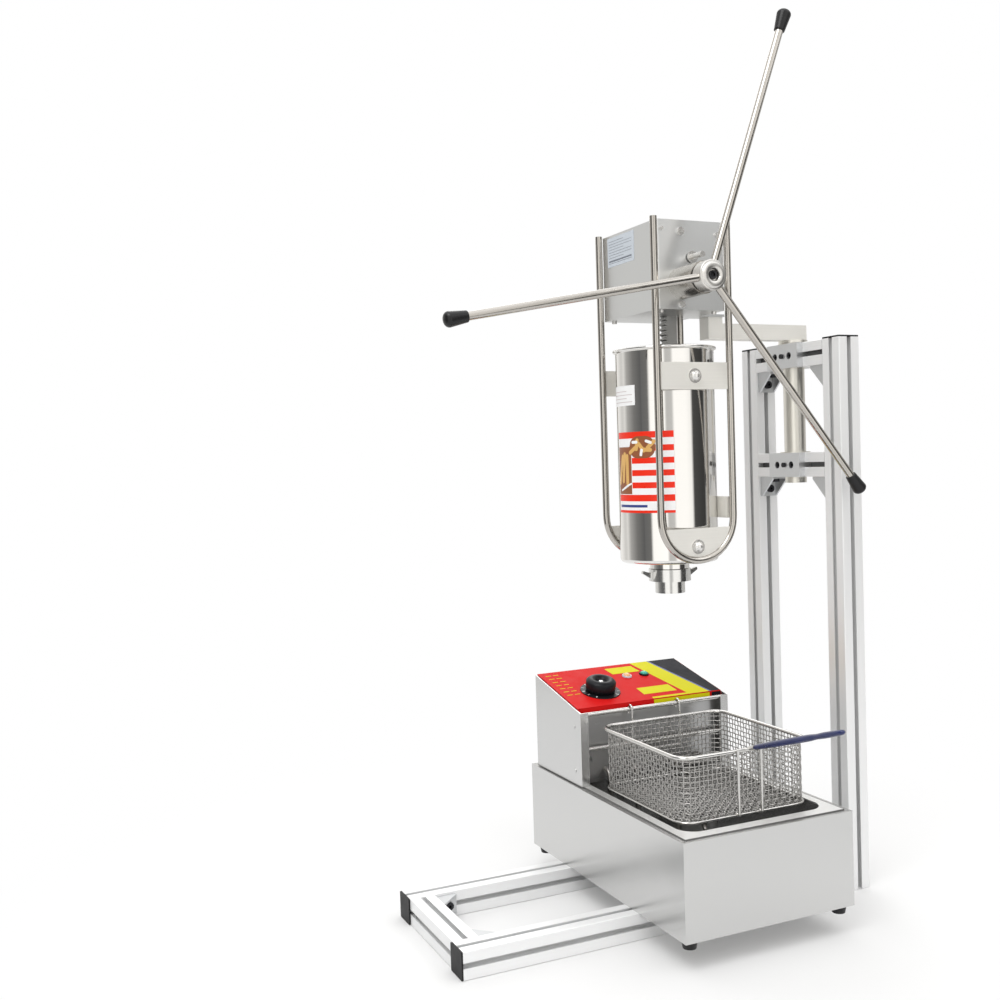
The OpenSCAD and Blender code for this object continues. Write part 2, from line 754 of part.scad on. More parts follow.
module pinion_section() {
    rb = pitch_r * cos(pressure);
    root = pitch_r - dedendum;
    tip = pitch_r + addendum;
    radii = [root, rb, rb + (tip - rb) * 0.33, rb + (tip - rb) * 0.66, tip];
    pts = [for (i = [0:pinion_teeth - 1]) each concat(
        [for (r = radii) let (a = i * 360 / pinion_teeth - tooth_half_angle(r, rb)) [r * cos(a), r * sin(a)]],
        [for (k = [4:-1:0]) let (r = radii[k], a = i * 360 / pinion_teeth + tooth_half_angle(r, rb))
            [r * cos(a), r * sin(a)]])];
    difference() {
        polygon(pts);
        circle(d = shaft_d + 2 * run_fit);
    }
}

// The pinion has a tooth on the line to the rack when the crank is as shown
module pinion() color("#a8a8a6") translate([shaft_x, tooth_w / 2 + 1, shaft_z]) rotate([90, 0, 0])
    linear_extrude(tooth_w + 2) pinion_section();

module crank_hub() color("#d2d2cf") translate([shaft_x, boss_end - hub_gap, shaft_z]) rotate([90, 0, 0])
    difference() {
        union() {
            cylinder(d = hub_d, h = hub_len - 3);
            translate([0, 0, hub_len - 3]) cylinder(d = hub_d - 5, h = 3);
        }
        translate([0, 0, -1]) cylinder(d = shaft_d + 2 * run_fit, h = hub_len - 5);
        translate([0, 0, hub_len - 8]) cylinder(d = 17, h = 10);
        // Sockets of the three arms
        for (i = [0:2]) translate([0, 0, hub_len * 0.55]) rotate([0, 0, crank_phase + i * 120]) rotate([0, 90, 0])
            translate([0, 0, hub_d / 2 - 8]) cylinder(d = crank_rod_d + 2 * run_fit, h = 12);
    }

// Runs its child out along each arm, with +Z pointing to the arm's tip
module along_arms() {
    for (i = [0:2])
        translate([shaft_x, crank_y, shaft_z])
            rotate([90, 0, 0]) rotate([0, 0, crank_phase + i * 120]) rotate([0, 90, 0]) children();
}

module crank_arms() color("#cbcbc9") along_arms()
    translate([0, 0, hub_d / 2 - 8 + run_fit])
        cylinder(d = crank_rod_d, h = arm_reach - 6 - hub_d / 2 + 8 - run_fit, $fn = 32);

module crank_grips() color("#161616") along_arms() difference() {
    union() {
        translate([0, 0, arm_reach - grip_len])
            cylinder(d1 = crank_rod_d + 4.5, d2 = grip_d, h = grip_len - 6, $fn = 48);
        translate([0, 0, arm_reach - 6]) cylinder(d1 = grip_d, d2 = grip_d - 3, h = 3, $fn = 48);
        translate([0, 0, arm_reach - 3]) cylinder(d1 = grip_d - 3, d2 = grip_d - 10, h = 3, $fn = 48);
    }
    translate([0, 0, arm_reach - grip_len - 1])
        cylinder(d = crank_rod_d + 2 * run_fit, h = grip_len - 5 + run_fit);
}

// ---- Rack and piston ----

// The rack has a gap between teeth on the line to the pinion's axis
module rack_section() {
    flank = tan(pressure);
    half_tooth = rack_pitch / 4 - backlash / 4;
    n_down = ceil((travel_up + 2 * gear_module) / rack_pitch) + 1;
    n_up = ceil((travel_down + 2 * gear_module) / rack_pitch) + 1;
    back = rack_x + rack_thick;
    root = rack_x + dedendum;
    tip = rack_x - addendum;
    teeth = [for (i = [-n_down:n_up]) let (c = shaft_z + (i + 0.5) * rack_pitch) each [
        [root, c - half_tooth - dedendum * flank], [tip, c - half_tooth + addendum * flank],
        [tip, c + half_tooth - addendum * flank], [root, c + half_tooth + dedendum * flank]]];
    polygon(concat([[back, piston_top], [root, piston_top]], teeth, [[root, rod_top], [back, rod_top]]));
}

module rack() color("#9c9c9a") translate([0, tooth_w / 2, 0]) rotate([90, 0, 0])
    linear_extrude(tooth_w) rack_section();

module guide_rod() color("#cfcfcd") rod_z([guide_x, 0, piston_top], rod_top - piston_top, guide_d);

module piston() color("#d0d0ce") translate([ext_x, 0, piston_z]) difference() {
    cylinder(r = cyl_r - cyl_wall - 1, h = piston_t);
    translate([0, 0, piston_t / 2 - 3]) difference() {
        cylinder(r = cyl_r, h = 6);
        translate([0, 0, -1]) cylinder(r = cyl_r - cyl_wall - 5, h = 8);
    }
}

module piston_seal() color("#8a2a22") translate([ext_x, 0, piston_z + piston_t / 2 - 3 + run_fit])
    difference() {
        cylinder(r = cyl_r - cyl_wall - seat, h = 6 - 2 * run_fit);
        translate([0, 0, -1]) cylinder(r = cyl_r - cyl_wall - 5 + run_fit, h = 8);
    }

module release_pin() color("#c9c9c7") {
    translate([ext_x + 1, face_y - 30, shaft_z + 40]) rotate([-90, 0, 0]) {
        cylinder(d = 9, h = 50);
        translate([0, 0, 26]) cylinder(d = 18, h = 2);
    }
}

// ---- Fryer ----

module fryer_housing() color("#c3c5c6") difference() {
    translate([fry_x0, fry_y0, fry_z]) cube([fryer_w, fryer_d, fryer_h]);
    translate([fry_x0 + sheet_t, fry_y0 + sheet_t, fry_z + sheet_t])
        cube([fryer_w - 2 * sheet_t, fryer_d - 2 * sheet_t, fryer_h - 2 * sheet_t]);
    translate([fry_x0 + lip_w, fry_y0 + lip_w, fry_z + fryer_h / 2])
        cube([fryer_w - 2 * lip_w, fryer_d - 2 * lip_w, fryer_h]);
}

module fryer_feet() color("#1a1a1a")
    for (x = [fry_x0 + foot_d / 2 + 4, fry_x1 - foot_d / 2 - 4],
         y = [fry_y0 + foot_d / 2 + 4, fry_y1 - foot_d / 2 - 4])
        translate([x, y, fry_z - foot_h]) cylinder(d1 = foot_d - 5, d2 = foot_d, h = foot_h);

module tank_section(grow) translate([fry_cx, (tank_y0 + tank_y1) / 2])
    rounded(tank_w + 2 * grow, tank_d + 2 * grow, tank_r + grow);

module oil_tank() color("#cfd0d0") {
    difference() {
        union() {
            translate([fry_x0 + flange_inset, fry_y0 + flange_inset, fry_top])
                cube([fryer_w - 2 * flange_inset, fryer_d - 2 * flange_inset, sheet_t]);
            translate([0, 0, tank_z]) linear_extrude(tank_h) tank_section(sheet_t);
        }
        translate([0, 0, tank_z + sheet_t]) linear_extrude(tank_h) tank_section(0);
    }
}

module screen_plate() color("#d5d5d3") {
    // Rests on the element and stays clear of the tank's walls
    w = tank_w - 26;
    d = head_y0 - tank_y0 - 46;
    n = 7;
    translate([fry_cx, tank_y0 + 14 + d / 2, screen_z]) linear_extrude(sheet_t) difference() {
        rounded(w, d, 22);
        for (i = [0:n - 1], j = [0:n - 1])
            translate([(i - (n - 1) / 2) * w / (n + 0.6), (j - (n - 1) / 2) * d / (n + 0.6)]) circle(d = 9);
    }
}

// Side outline of the control head: y, z
function head_outline(front) = [
    [head_y1, head_z], [head_y1, head_z + head_h],
    [front, head_z + head_h - (head_y1 - front) * tan(panel_slope)], [front, head_z]];

module head_case() color("#c0c2c3") difference() {
    translate([head_x0 + 3, 0, 0]) rotate([90, 0, 90]) linear_extrude(head_w - 6)
        polygon(head_outline(head_y0));
    // Element tubes
    for (x = [-88, -38, 38, 88])
        rod_y([fry_cx + x, head_y0 - 1, head_z + 20], 14, element_d + 2 * run_fit);
    // Socket of the locking pin
    rod_y([head_x0 + 22, head_y0 - 1, head_z + 38], 8, 12);
}

module head_cheeks() color("#c6c8c9") {
    t = 2;
    for (s = [0, 1]) translate([fry_cx, 0, 0]) mirror([s, 0, 0]) {
        translate([-head_w / 2, 0, 0]) rotate([90, 0, 90]) linear_extrude(t)
            polygon(head_outline(cheek_y0));
        // Front flange
        translate([-head_w / 2 - 0.01, cheek_y0, head_z])
            cube([14, t, head_h - (head_y1 - cheek_y0) * tan(panel_slope)]);
        // Screw heads
        for (z = [head_z + 22, hang_z - 20])
            rod_x([-head_w / 2 - 1, head_y0 + 6, z], 1.5, 7);
    }
}

module control_panel() color("#d9261c") {
    lift = sheet_t;
    translate([0, head_y1, head_z + head_h]) rotate([panel_slope, 0, 0])
        translate([head_x0 + 3, -head_d / cos(panel_slope) - 1.2, 0.02])
            cube([head_w - 6, head_d / cos(panel_slope) + 0.2, lift]);
    // Folded front edge
    translate([head_x0 + 3, head_y0 - 1, panel_front_z - 10]) cube([head_w - 6, 1, 10.8]);
}

module hang_rail() color("#d7d7d5") {
    for (p = [[hang_y, hang_z], [hang_y, rest_z]])
        rod_x([head_x0 + 2, p[0], p[1]], head_w - 4, rail_d);
}

// Two loops of tube that drop from the head and run forward under the screen plate
module heating_element() color("#8d8d8b") {
    r = 14;
    y_riser = head_y0 - r;
    z_top = head_z + 20;
    for (x = [38, 88]) {
        y_end = tank_y0 + 26 + (88 - x) * 0.9;
        turn = 14;
        for (s = [-1, 1]) translate([fry_cx + s * x, 0, 0]) {
            rod_y([0, head_y0, z_top], 12, element_d);
            translate([0, head_y0, z_top - r]) rotate([0, 90, 0]) rotate([0, 0, 180])
                bend(r, element_d, 90);
            rod_z([0, y_riser, element_z + r], z_top - element_z - 2 * r, element_d);
            translate([0, y_riser - r, element_z + r]) rotate([0, 90, 0]) bend(r, element_d, 90);
            rod_y([0, y_end + turn, element_z], y_riser - r - y_end - turn, element_d);
        }
        rod_x([fry_cx - x + turn, y_end, element_z], 2 * (x - turn), element_d);
        translate([fry_cx - x + turn, y_end + turn, element_z]) rotate([0, 0, 180]) bend(turn, element_d, 90);
        translate([fry_cx + x - turn, y_end + turn, element_z]) rotate([0, 0, 270]) bend(turn, element_d, 90);
    }
}

// Places its child on the panel: u to the right from the knob, v up the slope from its front edge
module on_panel(u, v) {
    translate([knob_x + u, head_y1, head_z + head_h]) rotate([panel_slope, 0, 0])
        translate([0, v - head_d / cos(panel_slope), sheet_t + 0.02]) children();
}

module pilot_lamps() color("#e8762a") {
    for (u = [76, 110]) on_panel(u, 95) {
        cylinder(d = lamp_d + 4, h = 2);
        translate([0, 0, 2]) cylinder(d1 = lamp_d, d2 = lamp_d - 3, h = 5);
    }
    // Dial plate under the knob
    on_panel(0, knob_v) difference() {
        cylinder(d = knob_d + 16, h = 1.6);
        translate([0, 0, -1]) cylinder(d = 10, h = 4);
    }
}

module thermostat_knob() color("#191919") on_panel(0, knob_v) {
    translate([0, 0, 1.6 + seat]) {
        cylinder(d = knob_d, h = knob_h * 0.55);
        translate([0, 0, knob_h * 0.55]) cylinder(d1 = knob_d, d2 = knob_d * 0.82, h = knob_h * 0.45);
        translate([-2, -knob_d / 2 - 1.5, 0]) cube([4, 6, knob_h * 0.9]);
    }
    translate([0, 0, 0.1]) cylinder(d = 9.8, h = 2);
}

// ---- Basket ----

// A flat panel of crossed wires, w by h, with n by m gaps
module mesh_panel(w, h, n, m) {
    cw = (w - mesh_wire) / n;
    ch = (h - mesh_wire) / m;
    linear_extrude(mesh_wire) difference() {
        square([w, h]);
        for (i = [0:n - 1], j = [0:m - 1])
            translate([mesh_wire + i * cw, mesh_wire + j * ch]) square([cw - mesh_wire, ch - mesh_wire]);
    }
}

module basket_walls() color("#c4c4c2") {
    h = basket_h - mesh_wire;
    z = bas_z + mesh_wire;
    for (y = [bas_y0, bas_y1 - mesh_wire])
        translate([bas_x0, y + mesh_wire, z]) rotate([90, 0, 0]) mesh_panel(basket_w, h, mesh_cells, mesh_rows);
    for (x = [bas_x0, bas_x1 - mesh_wire])
        translate([x, bas_y0 + mesh_wire, z]) rotate([90, 0, 90])
            mesh_panel(basket_d - 2 * mesh_wire, h, mesh_cells, mesh_rows);
}

module basket_floor() color("#c4c4c2")
    translate([bas_x0, bas_y0, bas_z]) mesh_panel(basket_w, basket_d, mesh_cells, mesh_cells);

// Rim wire round the outside of the mesh
module basket_rim() color("#d2d2d0") {
    off = rim_off;
    x0 = bas_x0 - off;
    x1 = bas_x1 + off;
    y0 = bas_y0 - off;
    y1 = bas_y1 + off;
    z = rim_z - rim_wire / 2;
    for (y = [y0, y1]) rod_x([x0 + off, y, z], x1 - x0 - 2 * off, rim_wire);
    for (x = [x0, x1]) rod_y([x, y0 + off, z], y1 - y0 - 2 * off, rim_wire);
    for (x = [bas_x0, bas_x1], y = [bas_y0, bas_y1])
        translate([x, y, z]) rotate([0, 0, x < fry_cx ? (y < bas_y1 ? 180 : 90) : (y < bas_y1 ? 270 : 0)])
            bend(off, rim_wire, 90);
}

// Hooks that hold the basket on the hang rail and lean on the rest rod below it
module basket_hooks() color("#d2d2d0") {
    r = rail_d / 2 + seat + hook_wire / 2;
    y0 = hang_y - r;
    low = rest_z - 14;
    rim_back = bas_y1 + rim_off + rim_wire / 2 + run_fit;
    for (s = [-1, 1]) translate([fry_cx + s * hook_x, 0, 0]) {
        rod_z([0, y0, low], hang_z - low, hook_wire);
        rod_y([0, rim_back, rim_z - rim_wire / 2], y0 - rim_back, hook_wire);
        translate([0, hang_y, hang_z]) rotate([90, 0, 90]) bend(r, hook_wire, 180);
        rod_z([0, hang_y + r, hang_z - 8], 8, hook_wire);
    }
    rod_x([fry_cx - hook_x, y0, low + 2], 2 * hook_x, hook_wire);
}

// Wire frame on the basket's front that carries the grip
module handle_frame() color("#d2d2d0") {
    low = bas_z + 6;
    for (s = [-1, 1]) translate([fry_cx + s * handle_half, 0, 0]) {
        rod_z([0, handle_y, low], rim_z - low, hook_wire);
        rod_y([0, handle_y, low], bas_y0 - run_fit - handle_y, hook_wire);
        translate([0, handle_y, rim_z]) sphere(d = hook_wire, $fn = 32);
        translate([0, handle_y, low]) sphere(d = hook_wire, $fn = 32);
    }
    rod_x([fry_cx - handle_half, handle_y, rim_z], 2 * handle_half, hook_wire);
    translate([fry_cx, handle_y, rim_z]) rotate([90 - handle_slope, 0, 0])
        cylinder(d = hook_wire + 2, h = 24, $fn = 32);
}

module handle_grip() color("#1e3c8c")
    translate([fry_cx, handle_y, rim_z]) rotate([90 - handle_slope, 0, 0])
        translate([0, 0, 12]) difference() {
            union() {
                cylinder(d = handle_d, h = handle_len - handle_d / 2);
                translate([0, 0, handle_len - handle_d / 2]) sphere(d = handle_d);
            }
            translate([0, 0, -1]) cylinder(d = hook_wire + 2 + 2 * run_fit, h = 13 + run_fit);
        }

rail_near();
rail_far();
front_cross_member();
rear_cross_member();
upright_near();
upright_far();
upper_cross_member();
lower_cross_member();
upper_mast_block();
lower_mast_block();
mast_bushes();
corner_brackets();
bracket_bolts();
end_caps();
mast_tube();
hanger_arm();
gearbox_base_plate();
gearbox_housing();
gearbox_cover();
shaft_boss();
shaft_bushes();
frame_loop_near();
frame_loop_far();
strap_plates();
half_moon_plates();
side_clip();
frame_bolts();
rating_plate();
cylinder_body();  // cylinder
cylinder_labels();
spout();
star_die();
ring_nut();
crank_shaft();
pinion();
crank_hub();
crank_arms();
crank_grips();
rack();
guide_rod();
piston();
piston_seal();
release_pin();
fryer_housing();
fryer_feet();
oil_tank();
screen_plate();
head_case();
head_cheeks();
control_panel();
hang_rail();
heating_element();
pilot_lamps();
thermostat_knob();
basket_walls();
basket_floor();
basket_rim();
basket_hooks();
handle_frame();
handle_grip();
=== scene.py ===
import math

import bmesh
import bpy
import numpy as np
from bpy.props import FloatProperty, FloatVectorProperty, IntProperty, PointerProperty
from bpy.types import Operator, Panel, PropertyGroup
from mathutils import Matrix, Vector


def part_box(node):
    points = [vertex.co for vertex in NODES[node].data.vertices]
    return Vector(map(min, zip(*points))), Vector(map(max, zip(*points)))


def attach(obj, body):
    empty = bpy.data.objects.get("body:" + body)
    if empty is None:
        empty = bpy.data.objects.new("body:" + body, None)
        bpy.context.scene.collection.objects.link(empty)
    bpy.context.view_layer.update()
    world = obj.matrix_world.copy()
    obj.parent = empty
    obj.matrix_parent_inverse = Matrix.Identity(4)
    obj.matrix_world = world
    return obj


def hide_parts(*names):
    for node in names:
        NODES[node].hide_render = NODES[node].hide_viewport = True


bl_info = {
    "name": "Churro maker",
    "version": (1, 0, 0),
    "blender": (4, 5, 0),
    "location": "3D View > Sidebar > Churro",
    "description": "Dresses the churro press, its profile stand and its fryer",
    "category": "Add Mesh",
}

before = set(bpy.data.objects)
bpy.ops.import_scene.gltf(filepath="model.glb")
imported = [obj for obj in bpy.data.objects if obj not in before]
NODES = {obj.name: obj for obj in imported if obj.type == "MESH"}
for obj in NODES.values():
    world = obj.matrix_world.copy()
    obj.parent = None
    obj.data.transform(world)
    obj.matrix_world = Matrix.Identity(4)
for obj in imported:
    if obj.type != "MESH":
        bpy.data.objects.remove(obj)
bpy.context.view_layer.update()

# Main places of the part, in metres
AXIS_X = -0.261
CYL_R = 0.077
CYL_BOTTOM = 0.535
SHAFT = (-0.279, 0.960)
CRANK_Y = -0.1572
ARM_ENDS = (0.0146, 0.415)
ARM_LENGTH = 0.422
ARM_ANGLES = tuple(math.radians(70 + 120 * k) for k in range(3))
GRIP_LENGTH = 0.034
LOOP_R = 0.0055
LOOP_Y = 0.0828
PANEL_SLOPE = math.radians(13.0)
PANEL_BACK = (0.205, 0.3345)
PANEL_DEPTH = 0.143
PANEL_FRONT = 0.062
KNOB_UV = (0.071, 0.052)
FILM_LIFT = 0.0017
BASKET_INSET = 0.001


# ---------------------------------------------------------------- meshes

def grid_faces(rows, cols, wrap_rows=False, wrap_cols=False):
    """Quads between neighbouring points of a rows by cols grid, as index arrays."""
    r = np.arange(rows if wrap_rows else rows - 1)
    c = np.arange(cols if wrap_cols else cols - 1)
    r, c = np.meshgrid(r, c, indexing="ij")
    r1, c1 = (r + 1) % rows, (c + 1) % cols
    return np.stack([r * cols + c, r1 * cols + c, r1 * cols + c1, r * cols + c1], -1).reshape(-1, 4)


def sheet(u0, u1, v0, v1, cols, rows):
    """Even grid of u from u0 to u1 and v from v0 to v1."""
    return np.meshgrid(np.linspace(u0, u1, cols), np.linspace(v0, v1, rows), indexing="ij")


ONE_FACE = np.array([[0, 1, 2, 3]])


def piece(name, parts, finish, body, replaces=(), sharp=35, merge=True):
    """One object in a named finish from (points, quads) pairs; merged shells are made to face outwards."""
    verts, faces, at = [], [], 0
    for p, f in parts:
        p = np.asarray(p, float).reshape(-1, 3)
        verts.append(p)
        faces.append(np.asarray(f) + at)
        at += len(p)
    verts = np.concatenate(verts)
    faces = np.concatenate(faces)
    mesh = bpy.data.meshes.new(name)
    mesh.vertices.add(len(verts))
    mesh.vertices.foreach_set("co", verts.ravel())
    mesh.loops.add(faces.size)
    mesh.loops.foreach_set("vertex_index", faces.ravel())
    mesh.polygons.add(len(faces))
    mesh.polygons.foreach_set("loop_start", np.arange(len(faces)) * 4)
    mesh.update(calc_edges=True)
    mesh.validate()
    if merge:
        bm = bmesh.new()
        bm.from_mesh(mesh)
        bmesh.ops.remove_doubles(bm, verts=bm.verts, dist=2e-6)
        bmesh.ops.recalc_face_normals(bm, faces=bm.faces)
        bm.to_mesh(mesh)
        bm.free()
    mesh.polygons.foreach_set("use_smooth", np.ones(len(mesh.polygons), bool))
    if sharp:
        mesh.set_sharp_from_angle(angle=math.radians(sharp))
    mesh.materials.append(MATS[finish])
    obj = bpy.data.objects.new(name, mesh)
    bpy.context.scene.collection.objects.link(obj)
    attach(obj, body)
    if replaces:
        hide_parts(*replaces)


def film(name, parts, finish, body, slot, replaces=()):
    """Piece of printed film or a thin line: open sheets, neither merged nor turned."""
    piece(name, parts, finish, body, replaces, 0, False)


def turned(profile, sides):
    """Profile of (radius, height) turned once round: arrays of r cos t, r sin t and h, and their quads."""
    profile = np.asarray(profile, float)
    t = np.linspace(0, 2 * np.pi, sides, endpoint=False)
    a, b = profile[:, :1] * np.cos(t), profile[:, :1] * np.sin(t)
    return a, b, np.broadcast_to(profile[:, 1:], a.shape), grid_faces(len(profile), sides, wrap_cols=True)


def lathe(profile, centre, axis, sides):
    """Profile turned round an axis through centre."""
    a, b, h, faces = turned(profile, sides)
    order = {"z": (a, b, h), "y": (a, h, b)}[axis]
    return np.stack(order, -1) + np.asarray(centre), faces


def tangents(path, closed=False):
    """Unit directions along a path."""
    ahead = np.roll(path, -1, 0) - np.roll(path, 1, 0) if closed else np.gradient(path, axis=0)
    return ahead / np.linalg.norm(ahead, axis=1, keepdims=True)


def rounded_path(points, radius, step, closed=False):
    """Polyline whose corners are arcs: each arc touches both sides at radius * tan(turn / 2)."""
    pts = np.asarray(points, float)
    n = len(pts)
    out = []
    for i in range(n):
        if not closed and i in (0, n - 1):
            out.append(pts[i][None])
            continue
        a, b, c = pts[i - 1], pts[i], pts[(i + 1) % n]
        u, v = (a - b) / np.linalg.norm(a - b), (c - b) / np.linalg.norm(c - b)
        half = math.acos(np.clip(np.dot(u, v), -1, 1)) / 2
        back = radius / math.tan(half)
        mid = b + (u + v) / np.linalg.norm(u + v) * radius / math.sin(half)
        p0, p1 = b + u * back - mid, b + v * back - mid
        sweep = math.pi - 2 * half
        k = np.linspace(0, 1, 9)[:, None]
        out.append(mid + (np.sin((1 - k) * sweep) * p0 + np.sin(k * sweep) * p1) / math.sin(sweep))
    path = np.concatenate(out)
    if closed:
        path = np.concatenate([path, path[:1]])
    length = np.concatenate([[0], np.cumsum(np.linalg.norm(np.diff(path, axis=0), axis=1))])
    count = max(3, int(round(length[-1] / step)) + 1)
    s = np.linspace(0, length[-1], count)
    path = np.stack([np.interp(s, length, path[:, k]) for k in range(3)], -1)
    return (path[:-1], s[:-1]) if closed else (path, s)


def tube(path, radius, across, sides, closed=False, flat=1.0):
    """Circle carried along a flat path: P + r (cos t N + sin t B), with B square to the path's plane."""
    path = np.asarray(path, float)
    b = np.asarray(across, float)
    b = np.broadcast_to(b / np.linalg.norm(b), path.shape)
    n = np.cross(b, tangents(path, closed))
    radius = np.broadcast_to(np.asarray(radius, float), (len(path),))
    t = np.linspace(0, 2 * np.pi, sides, endpoint=False)
    ring = n[:, None] * np.cos(t)[None, :, None] * flat + b[:, None] * np.sin(t)[None, :, None]
    verts = path[:, None] + ring * radius[:, None, None]
    if not closed:
        verts = np.concatenate([np.broadcast_to(path[:1, None], verts[:1].shape), verts,
                                np.broadcast_to(path[-1:, None], verts[:1].shape)])
    return verts, grid_faces(len(verts), sides, wrap_rows=closed, wrap_cols=True)


def straight(start, end, radius, sides):
    """Tube between two points, with its ends slightly rounded."""
    start, end = np.asarray(start, float), np.asarray(end, float)
    along = end - start
    size = np.linalg.norm(along)
    along = along / size
    side = np.cross(along, [0, 0, 1.0]) if abs(along[2]) < 0.9 else np.cross(along, [0, 1.0, 0])
    edge = min(0.0008, radius * 0.3)
    s = np.array([0, edge, size - edge, size])
    r = np.array([radius - edge, radius, radius, radius - edge])
    return tube(start + along * s[:, None], r, side, sides)


def wires(paths, normals, across, radius, sides=5, closed=False):
    """Many thin tubes at once: paths and normals are (wire, point, 3)."""
    count, points = paths.shape[:2]
    t = np.linspace(0, 2 * np.pi, sides, endpoint=False)
    b = np.broadcast_to(across, paths.shape)
    c, s = np.cos(t)[None, None, :, None], np.sin(t)[None, None, :, None]
    verts = paths[:, :, None] + (normals[:, :, None] * c + b[:, :, None] * s) * radius
    faces = grid_faces(points, sides, wrap_rows=closed, wrap_cols=True)
    faces = faces[None] + (np.arange(count) * points * sides)[:, None, None]
    return verts.reshape(-1, 3), faces.reshape(-1, 4)


# ---------------------------------------------------------------- finishes

class Finish:
    """Builds one node material: a Principled shader fed by noises on Object coordinates."""

    def __init__(self, name, colour, metallic, rough, coat=0.0, specular=0.5, ior=1.45):
        self.mat = bpy.data.materials.new(name)
        self.mat.use_nodes = True
        self.nt = self.mat.node_tree
        self.nt.nodes.clear()
        self.out = self.add("ShaderNodeOutputMaterial")
        self.bsdf = self.add("ShaderNodeBsdfPrincipled")
        self.link(self.bsdf.outputs[0], self.out.inputs[0])
        for socket, value in (("Base Color", (*colour, 1)), ("Metallic", metallic), ("Roughness", rough),
                              ("Coat Weight", coat), ("Coat Roughness", 0.08),
                              ("Specular IOR Level", specular), ("IOR", ior)):
            self.bsdf.inputs[socket].default_value = value
        self.parts = None
        self.coord = self.add("ShaderNodeTexCoord").outputs["Object"]

    def add(self, kind):
        return self.nt.nodes.new(kind)

    def link(self, a, b):
        self.nt.links.new(a, b)

    def noise(self, scale, stretch=(1, 1, 1), detail=3):
        """Noise from 0 to 1; stretch is how many times finer it is along x, y and z."""
        place = self.add("ShaderNodeMapping")
        place.inputs["Scale"].default_value = stretch
        self.link(self.coord, place.inputs[0])
        n = self.add("ShaderNodeTexNoise")
        n.inputs["Scale"].default_value = scale
        n.inputs["Detail"].default_value = detail
        n.inputs["Roughness"].default_value = 0.55
        self.link(place.outputs[0], n.inputs["Vector"])
        return n.outputs["Fac"]

    def spread(self, value, low, high, from_low=0.3, from_high=0.7):
        """Takes from_low to from_high, the usual reach of a noise, to low to high, and holds it there."""
        m = self.add("ShaderNodeMapRange")
        for k, number in enumerate((from_low, from_high, low, high), 1):
            m.inputs[k].default_value = number
        self.link(value, m.inputs["Value"])
        return m.outputs[0]

    def away(self, k, low, high):
        """Distance of a point from the middle of a box along axis k."""
        if self.parts is None:
            self.parts = self.add("ShaderNodeSeparateXYZ")
            self.link(self.coord, self.parts.inputs[0])
        size = self.add("ShaderNodeMath")
        size.operation = "ABSOLUTE"
        self.link(self.sum(self.parts.outputs[k], -(low[k] + high[k]) / 2), size.inputs[0])
        return size.outputs[0]

    def sum(self, a, b, how="ADD"):
        """Both values, sockets or numbers, added or joined in another way."""
        m = self.add("ShaderNodeMath")
        m.operation = how
        for k, v in enumerate((a, b)):
            if isinstance(v, (int, float)):
                m.inputs[k].default_value = v
            else:
                self.link(v, m.inputs[k])
        return m.outputs[0]

    def gloss(self, *terms):
        """Roughness as the sum of the terms."""
        level = terms[0]
        for term in terms[1:]:
            level = self.sum(level, term)
        self.link(level, self.bsdf.inputs["Roughness"])

    def tint(self, fac, dark, light):
        """Base colour from dark where fac is 0 to light where it is 1."""
        m = self.add("ShaderNodeMix")
        m.data_type = "RGBA"
        m.inputs[6].default_value = (*dark, 1)
        m.inputs[7].default_value = (*light, 1)
        self.link(fac, m.inputs[0])
        self.link(m.outputs[2], self.bsdf.inputs["Base Color"])

    def bump(self, height, strength, distance):
        b = self.add("ShaderNodeBump")
        b.inputs["Strength"].default_value = strength
        b.inputs["Distance"].default_value = distance
        self.link(height, b.inputs["Height"])
        self.link(b.outputs[0], self.bsdf.inputs["Normal"])


def shade(colour, k):
    return tuple(c * k for c in colour)


def metal(name, colour, rough, grain, streak, smudge, bump, vary, metallic=1.0):
    """Brushed or polished metal: a noise drawn out along the grain sets roughness, tone and relief.

    A broad one adds wiped patches.
    """
    f = Finish(name, colour, metallic, rough)
    lines = f.noise(1.0, grain, 6)
    patch = f.noise(9.0)
    fine = f.spread(lines, -streak / 2, streak / 2)
    wide = f.spread(patch, -smudge / 2, smudge / 2)
    f.gloss(f.sum(f.sum(f.sum(fine, wide), rough), 0.02, "MAXIMUM"))
    tone = f.sum(f.spread(lines, 0.0, 0.6), f.spread(patch, 0.0, 0.4))
    f.tint(tone, shade(colour, 1 - vary), colour)
    f.bump(lines, bump, 0.00015)
    return f.mat


def profile_metal(name, colour, node, axis, slot_shade):
    """Anodised profile: drawn grain along its length, and painted shade below its outer faces (colour times
    slot shade).

    A point lies below them where the larger of its two distances from the bar's centre line, each over the
    bar's half width, is under 0.90 to 0.985.
    """
    f = Finish(name, colour, 0.35, 0.42)
    lines = f.noise(1.0, GRAIN[axis], 6)
    patch = f.noise(9.0)
    f.gloss(f.spread(lines, -0.04, 0.04), f.spread(patch, -0.025, 0.025), 0.42)
    low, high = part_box(node)
    reach = [f.sum(f.away(k, low, high), 2 / (high[k] - low[k]), "MULTIPLY")
             for k in range(3) if "xyz"[k] != axis]
    outer = f.spread(f.sum(reach[0], reach[1], "MAXIMUM"), 0.0, 1.0, 0.90, 0.985)
    wear = f.sum(f.spread(lines, 0.94, 1.0), f.spread(patch, 0.97, 1.0), "MULTIPLY")
    # Painted shade in the slots: the colour is multiplied by the slot shade factor there; the wear noise is
    # random tone
    f.tint(f.sum(outer, wear, "MULTIPLY"), shade(colour, slot_shade), colour)
    f.bump(lines, 0.06, 0.00015)
    return f.mat


